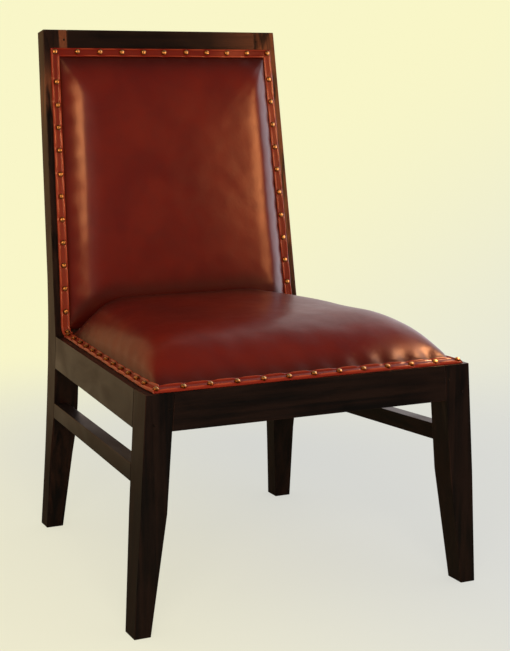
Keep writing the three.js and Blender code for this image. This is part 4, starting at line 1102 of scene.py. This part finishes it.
# Boards: birch plywood under the seat, behind the back cushion and behind the outside back.
# Rotary-cut veneer, so its figure is broad and pale, left bare because it is covered.
def plywood():
    """Veneer with figure of about 45 by 300 mm, and fibres of 1 by 25 mm."""
    material, add = new_material("birch_plywood")
    place = add("TexCoord", out="Object")
    long = add("Mapping", {"Vector": place, "Scale": (22, 3, 3)})
    figure = add("TexNoise", {"Vector": long, "Scale": 1, "Detail": 3, "Distortion": 1.2})
    fine = add("Mapping", {"Vector": place, "Scale": (900, 40, 40)})
    fibre = add("TexNoise", {"Vector": fine, "Scale": 1, "Detail": 2})
    veneer = add("Mix", {0: figure, 6: "#c8a47a", 7: "#a47e52"}, 2, data_type="RGBA")
    line = add("MapRange", [fibre, 0.3, 0.7, 0.85, 1.05])
    colour = add("Mix", {0: 1, 6: veneer, 7: line}, 2, data_type="RGBA", blend_type="MULTIPLY")
    return surfaced(material, add, fibre, 0.3, 0.0002, {"Base Color": colour, "Roughness": 0.75})


birch = plywood()
for node in ("seat_board", "back_board", "outside_back_board"):
    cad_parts[node].material_slots[0].material = birch

# Pegs: round plugs of dark hardwood and wax over the pins of the front legs' joints and of the
# top rail, pared almost level with the wood.
plug_radius = 0.0020
plug_rise = 0.0003
plug_sides = 24
plug_rings = 4


def plug_mesh(name, front, way, length):
    """A round peg with a low dome, its front centre at a place and facing a way."""
    shape = bmesh.new()
    rings = [[shape.verts.new((0, 0, plug_rise))]]
    for ring in range(1, plug_rings + 1):
        reach = plug_radius * ring / plug_rings
        height = plug_rise * math.cos(math.pi / 2 * ring / plug_rings)
        angles = [2 * math.pi * k / plug_sides for k in range(plug_sides)]
        rings.append([
            shape.verts.new((reach * math.cos(a), reach * math.sin(a), height)) for a in angles
        ])
    rings.append([shape.verts.new((v.co.x, v.co.y, -length)) for v in rings[-1]])
    for k in range(plug_sides):
        following = (k + 1) % plug_sides
        shape.faces.new((rings[0][0], rings[1][k], rings[1][following]))
        for inner, outer in zip(rings[1:], rings[2:]):
            shape.faces.new((inner[k], outer[k], outer[following], inner[following]))
    shape.faces.new(rings[-1][::-1])
    turn = way.to_track_quat("Z", "Y").to_matrix().to_4x4()
    shape.transform(Matrix.Translation(front) @ turn)
    return as_mesh(name, shape)


plug_wood = stained_wood("dark_plug_of_hardwood_and_wax", "#070505", "#0d0807", "#1a100a", 0.5)
pegs = [f"{kind}_peg{row}_{hand}" for kind, row in (("leg", "_upper"), ("leg", "_lower"), ("rail", ""))
        for hand in ("left", "right")]
for number, node in enumerate(pegs):
    low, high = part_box(node)
    middle = (low + high) / 2
    if node.startswith("rail"):
        way = Vector(out_of_back)
        length = (high.y - low.y - 0.0005) / math.cos(rake) - 0.002
    else:
        way = Vector((0, -1, 0))
        length = high.y - low.y
    mesh = plug_mesh(node, middle + way * length / 2, way, length)
    mark_grain(mesh, 30 + number)
    fitted(new_piece(f"{node}_plug", mesh, plug_wood), "peg_wood", node)

# Screws: countersunk cross-head wood screws, zinc plated. One goes through each corner block into
# the leg or post behind it, and one up through the block into the seat board.
screw_trim = 0.0002
thread_pitch = 0.0014
thread_depth = 0.00042
core_radius = 0.0014
recess_arms = ((0.0046, 0.0010, 0.0028), (0.0010, 0.0046, 0.0028))


def zinc_plate():
    """Zinc on steel, passivated in faint clouds of about 2 mm."""
    material, add = new_material("zinc_plated_steel")
    place = add("TexCoord", out="Object")
    clouds = add("TexNoise", {"Vector": place, "Scale": 500, "Detail": 3, "Roughness": 0.6})
    colour = add("Mix", {0: clouds, 6: "#b9bcc0", 7: "#8f8d84"}, 2, data_type="RGBA")
    spread = add("MapRange", [clouds, 0.3, 0.7, 0.28, 0.45])
    return surfaced(material, add, clouds, 0.15, 0.00005,
                    {"Base Color": colour, "Metallic": 1, "Roughness": spread})


def screw_tree(material):
    """A screw for each point of a mesh, its head facing as the point's attribute says."""
    tree, add, given = new_tree("wood_screws", {"Length": "Float", "Pitch": "Float"})

    def moved(part, z=0, turn=(0, 0, 0)):
        place = add("CombineXYZ", [0, 0, z])
        return add("GeometryNodeTransform", {
            "Geometry": part, "Translation": place, "Rotation": turn,
        })

    cone = add("GeometryNodeMeshCone", {
        "Vertices": 32, "Radius Top": 0.0039, "Radius Bottom": 0.0017, "Depth": 0.0024,
    })
    head = moved(cone, -0.0024)
    for size in recess_arms:
        arm = moved(add("GeometryNodeMeshCube", {"Size": size}), turn=(0, 0, 0.3))
        head = add("GeometryNodeMeshBoolean", {"Mesh 1": head, "Mesh 2": arm},
                   operation="DIFFERENCE", solver="EXACT")
    shank_length = add("Math", [given["Length"], 0.006], operation="SUBTRACT")
    middle = add("Math", [shank_length, -0.5, -0.002], operation="MULTIPLY_ADD")
    low = add("Math", [-0.002, shank_length], operation="SUBTRACT")
    turns = add("Math", [shank_length, given["Pitch"]], operation="DIVIDE")
    shank = add("GeometryNodeMeshCylinder", {
        "Vertices": 20, "Radius": core_radius, "Depth": shank_length,
    })
    point = add("GeometryNodeMeshCone", {
        "Vertices": 20, "Radius Top": 0, "Radius Bottom": core_radius, "Depth": 0.0038,
    })
    helix = add("GeometryNodeCurveSpiral", {
        "Resolution": 20, "Rotations": turns, "Start Radius": core_radius,
        "End Radius": core_radius, "Height": shank_length,
    })
    ridge = add("GeometryNodeCurvePrimitiveCircle", {"Resolution": 4, "Radius": thread_depth})
    thread = add("GeometryNodeCurveToMesh", {
        "Curve": helix, "Profile Curve": ridge, "Fill Caps": True,
    })
    parts = [moved(shank, middle), moved(point, low, (math.pi, 0, 0))]
    body = add("GeometryNodeJoinGeometry", [parts])
    smooth = add("GeometryNodeSetShadeSmooth", {"Geometry": body})
    flat = add("GeometryNodeSetShadeSmooth", {"Geometry": head, "Shade Smooth": False})
    whole = add("GeometryNodeJoinGeometry", [[flat, smooth, moved(thread, low)]])
    way = add("GeometryNodeInputNamedAttribute", {"Name": "facing"}, "Attribute",
              data_type="FLOAT_VECTOR")
    on_points(add, given["Geometry"], whole, way, material)
    return tree


def screw_line(node):
    """The middle of a screw's head, the way it faces, and the screw's length."""
    places = np.unique(np.round(points_of(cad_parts[node].data), 6), axis=0)
    middle = (places.max(0) + places.min(0)) / 2
    way = np.linalg.svd(places - places.mean(0))[2][0]
    along = (places - middle) @ way
    reach = np.linalg.norm(places - middle - along[:, None] * way, axis=1)
    if along[reach.argmax()] < 0:
        way, along = -way, -along
    head = places[along > along.max() - 0.0003]
    return head.mean(0), way, float(along.max() - along.min())


zinc = zinc_plate()
screws = screw_tree(zinc)
for node in [f"{kind}_screw_{corner}" for kind in ("block", "board") for corner in corners]:
    head, way, length = screw_line(node)
    sizes = {"Length": length - screw_trim, "Pitch": thread_pitch}
    piece = set_on_points(f"{node}_threaded", head[None], way[None], screws, sizes)
    # The cut recess brings an empty material slot with it
    piece.data.materials.clear()
    piece.data.materials.append(zinc)
    piece.data.polygons.foreach_set("material_index", np.zeros(len(piece.data.polygons), np.int32))
    fitted(piece, "screw_steel", node)

# Floor: a seamless pale sweep that fades into the studio behind it.
sweep_radius = 2.6
fade_start = 0.75
fade_end = 2.2
paper_glow = 0.76


def sweep_material():
    """Matt paper, warm on the left; its own glow keeps it pale for the eye, and dim in gloss."""
    material, add = new_material("pale_sweep")
    place = add("TexCoord", out="Object")
    x, _, _ = add("SeparateXYZ", [place], None)
    side = add("MapRange", [x, -0.6, 0.5], interpolation_type="SMOOTHSTEP")
    colour = add("Mix", {0: side, 6: "#efecd2", 7: "#dfe0dc"}, 2, data_type="RGBA")
    distance = add("VectorMath", [place], "Value", operation="LENGTH")
    fade = add("MapRange", [distance, fade_start, fade_end], interpolation_type="SMOOTHSTEP")
    rays = add("LightPath", out=None)
    mirrored = add("Mix", {0: rays["Is Glossy Ray"], 6: colour, 7: "#665844"}, 2, data_type="RGBA")
    cloth = add("BsdfDiffuse", {"Color": mirrored})
    glow = add("Emission", {"Color": colour, "Strength": 1})
    lit_share = add("Math", [rays["Is Camera Ray"], paper_glow], operation="MULTIPLY")
    paper = add("MixShader", [lit_share, cloth, glow])
    surface = add("MixShader", [fade, paper, add("BsdfTransparent")])
    add("OutputMaterial", {"Surface": surface}, None)
    return material


shape = bmesh.new()
bmesh.ops.create_circle(shape, cap_ends=True, radius=sweep_radius, segments=96)
floor = new_piece("floor", as_mesh("floor", shape), sweep_material())
floor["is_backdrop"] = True

# Studio: pale paper all round for the eye, warm on the left and cool on the right. In the gloss
# of the chair it is dim behind the photographer and overhead, and bright at the far right.
world = bpy.data.worlds.new("studio")
bpy.context.scene.world = world
world.use_nodes = True
world.node_tree.nodes.clear()
add = functools.partial(add_node, world.node_tree)
x, y, z = add("SeparateXYZ", [add("TexCoord", out="Generated")], None)
side = add("MapRange", [x, 0.2, 0.65], interpolation_type="SMOOTHSTEP")
tilt = add("Math", [x, -0.6, z], operation="MULTIPLY_ADD")
rise = add("MapRange", [tilt, -0.67, -0.27], interpolation_type="SMOOTHSTEP")
low_paper = add("Mix", {0: side, 6: "#efecd2", 7: "#dfe0dc"}, 2, data_type="RGBA")
paper = add("Mix", {0: rise, 6: low_paper, 7: "#f9f6c8"}, 2, data_type="RGBA")
cool_side = add("MapRange", [x, -0.2, 1], interpolation_type="SMOOTHSTEP")
level = add("MapRange", [z, -0.27, -0.07], interpolation_type="SMOOTHSTEP")
warm_side = add("Mix", {0: level, 6: "#c4b18c", 7: "#b08658"}, 2, data_type="RGBA")
glossy_tint = add("Mix", {0: cool_side, 6: warm_side, 7: "#e6e6ee"}, 2, data_type="RGBA")
towards_right = add("Math", [x, 0.6, y], operation="MULTIPLY_ADD")
behind = add("MapRange", [towards_right, 0.15, 0.7, 0.02, 1.42], interpolation_type="SMOOTHSTEP")
below_ceiling = add("MapRange", [z, 0.55, 0.85, 1, 0.02], interpolation_type="SMOOTHSTEP")
far_right = add("MapRange", [x, 0.42, 0.85, 0.82, 2], interpolation_type="SMOOTHSTEP")
bright = add("Math", [behind, far_right], operation="MULTIPLY")
depth = add("Math", [bright, below_ceiling], operation="MULTIPLY")
rays = add("LightPath", out=None)
seen = add("Background", [paper, 1])
mirrored = add("Background", [glossy_tint, depth])
ambient = add("Background", [(1, 0.98, 0.93, 1), 0.66])
bounced = add("Math", [rays["Is Glossy Ray"], rays["Is Transmission Ray"]], operation="MAXIMUM")
unseen = add("MixShader", [bounced, ambient, mirrored])
whole = add("MixShader", [rays["Is Camera Ray"], unseen, seen])
add("OutputWorld", {"Surface": whole}, None)


# Lamps: one large and soft, high on the left beside the camera, which lights the chair evenly,
# and three that only show in its gloss: one each side of the back, one over the seat's corner.
def hung_lamp(name, kind, place, target, power, colour, **settings):
    """A lamp hung at a place and turned to a target; a lamp with a size is a rectangle."""
    light = bpy.data.lights.new(name, kind)
    light.energy = power
    light.color = linear(colour)[:3]
    for setting, value in settings.items():
        setattr(light, setting, value)
    lamp = linked(name, light)
    lamp.location = place
    lamp.visible_camera = False
    lamp.rotation_euler = (Vector(target) - Vector(place)).to_track_quat("-Z", "Y").to_euler()
    return lamp


key = hung_lamp("key", "AREA", (-1.2, -2.8, 1.6), (0, 0, 0.55), 70, "#fff6e6",
                shape="RECTANGLE", size=1.8, size_y=1.4)
key.visible_glossy = False
gloss_lamps = [
    hung_lamp("left_strip", "AREA", (-1.32, -1.03, 1.20), (-0.2, 0.25, 0.8), 15, "#ffb070",
              shape="RECTANGLE", size=0.65, size_y=0.30),
    hung_lamp("right_strip", "AREA", (1.35, -0.85, 1.02), (0.2, 0.25, 0.75), 14, "#ffa868",
              shape="RECTANGLE", size=0.5, size_y=0.55),
    hung_lamp("overhead", "SPOT", (0.72, -0.33, 1.10), (0.35, -0.33, 0.43), 36, "#ffb078",
              spot_size=math.radians(25), spot_blend=1, shadow_soft_size=0.07),
]
for lamp in gloss_lamps:
    lamp.visible_diffuse = False

# Camera where the photographer stood: a little left of the chair's front and at the height of
# its back, with a lens a little longer than normal for the frame.
focal_pixels = 1426.15
frame_pixels = 651
optical_line = 324.288
camera_azimuth = math.radians(-25.189)
camera_elevation = math.radians(9.336)
camera_roll = math.radians(-0.233)
lens = bpy.data.cameras.new("camera")
lens.sensor_width = 36
lens.lens = focal_pixels / frame_pixels * lens.sensor_width
lens.shift_y = (optical_line - frame_pixels / 2) / frame_pixels
lens.clip_end = 30
camera = linked("camera", lens)
camera.location = (-1.0542, -2.3551, 0.8553)
look = Vector((
    -math.sin(camera_azimuth) * math.cos(camera_elevation),
    math.cos(camera_azimuth) * math.cos(camera_elevation),
    -math.sin(camera_elevation),
))
turn = look.to_track_quat("-Z", "Y").to_matrix() @ Matrix.Rotation(camera_roll, 3, "Z")
camera.rotation_euler = turn.to_euler()
bpy.context.scene.camera = camera
bpy.context.scene.view_settings.view_transform = "Standard"

low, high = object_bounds()
sizes = {"cad": [list(cad_low), list(cad_high)], "scene": [list(low), list(high)]}
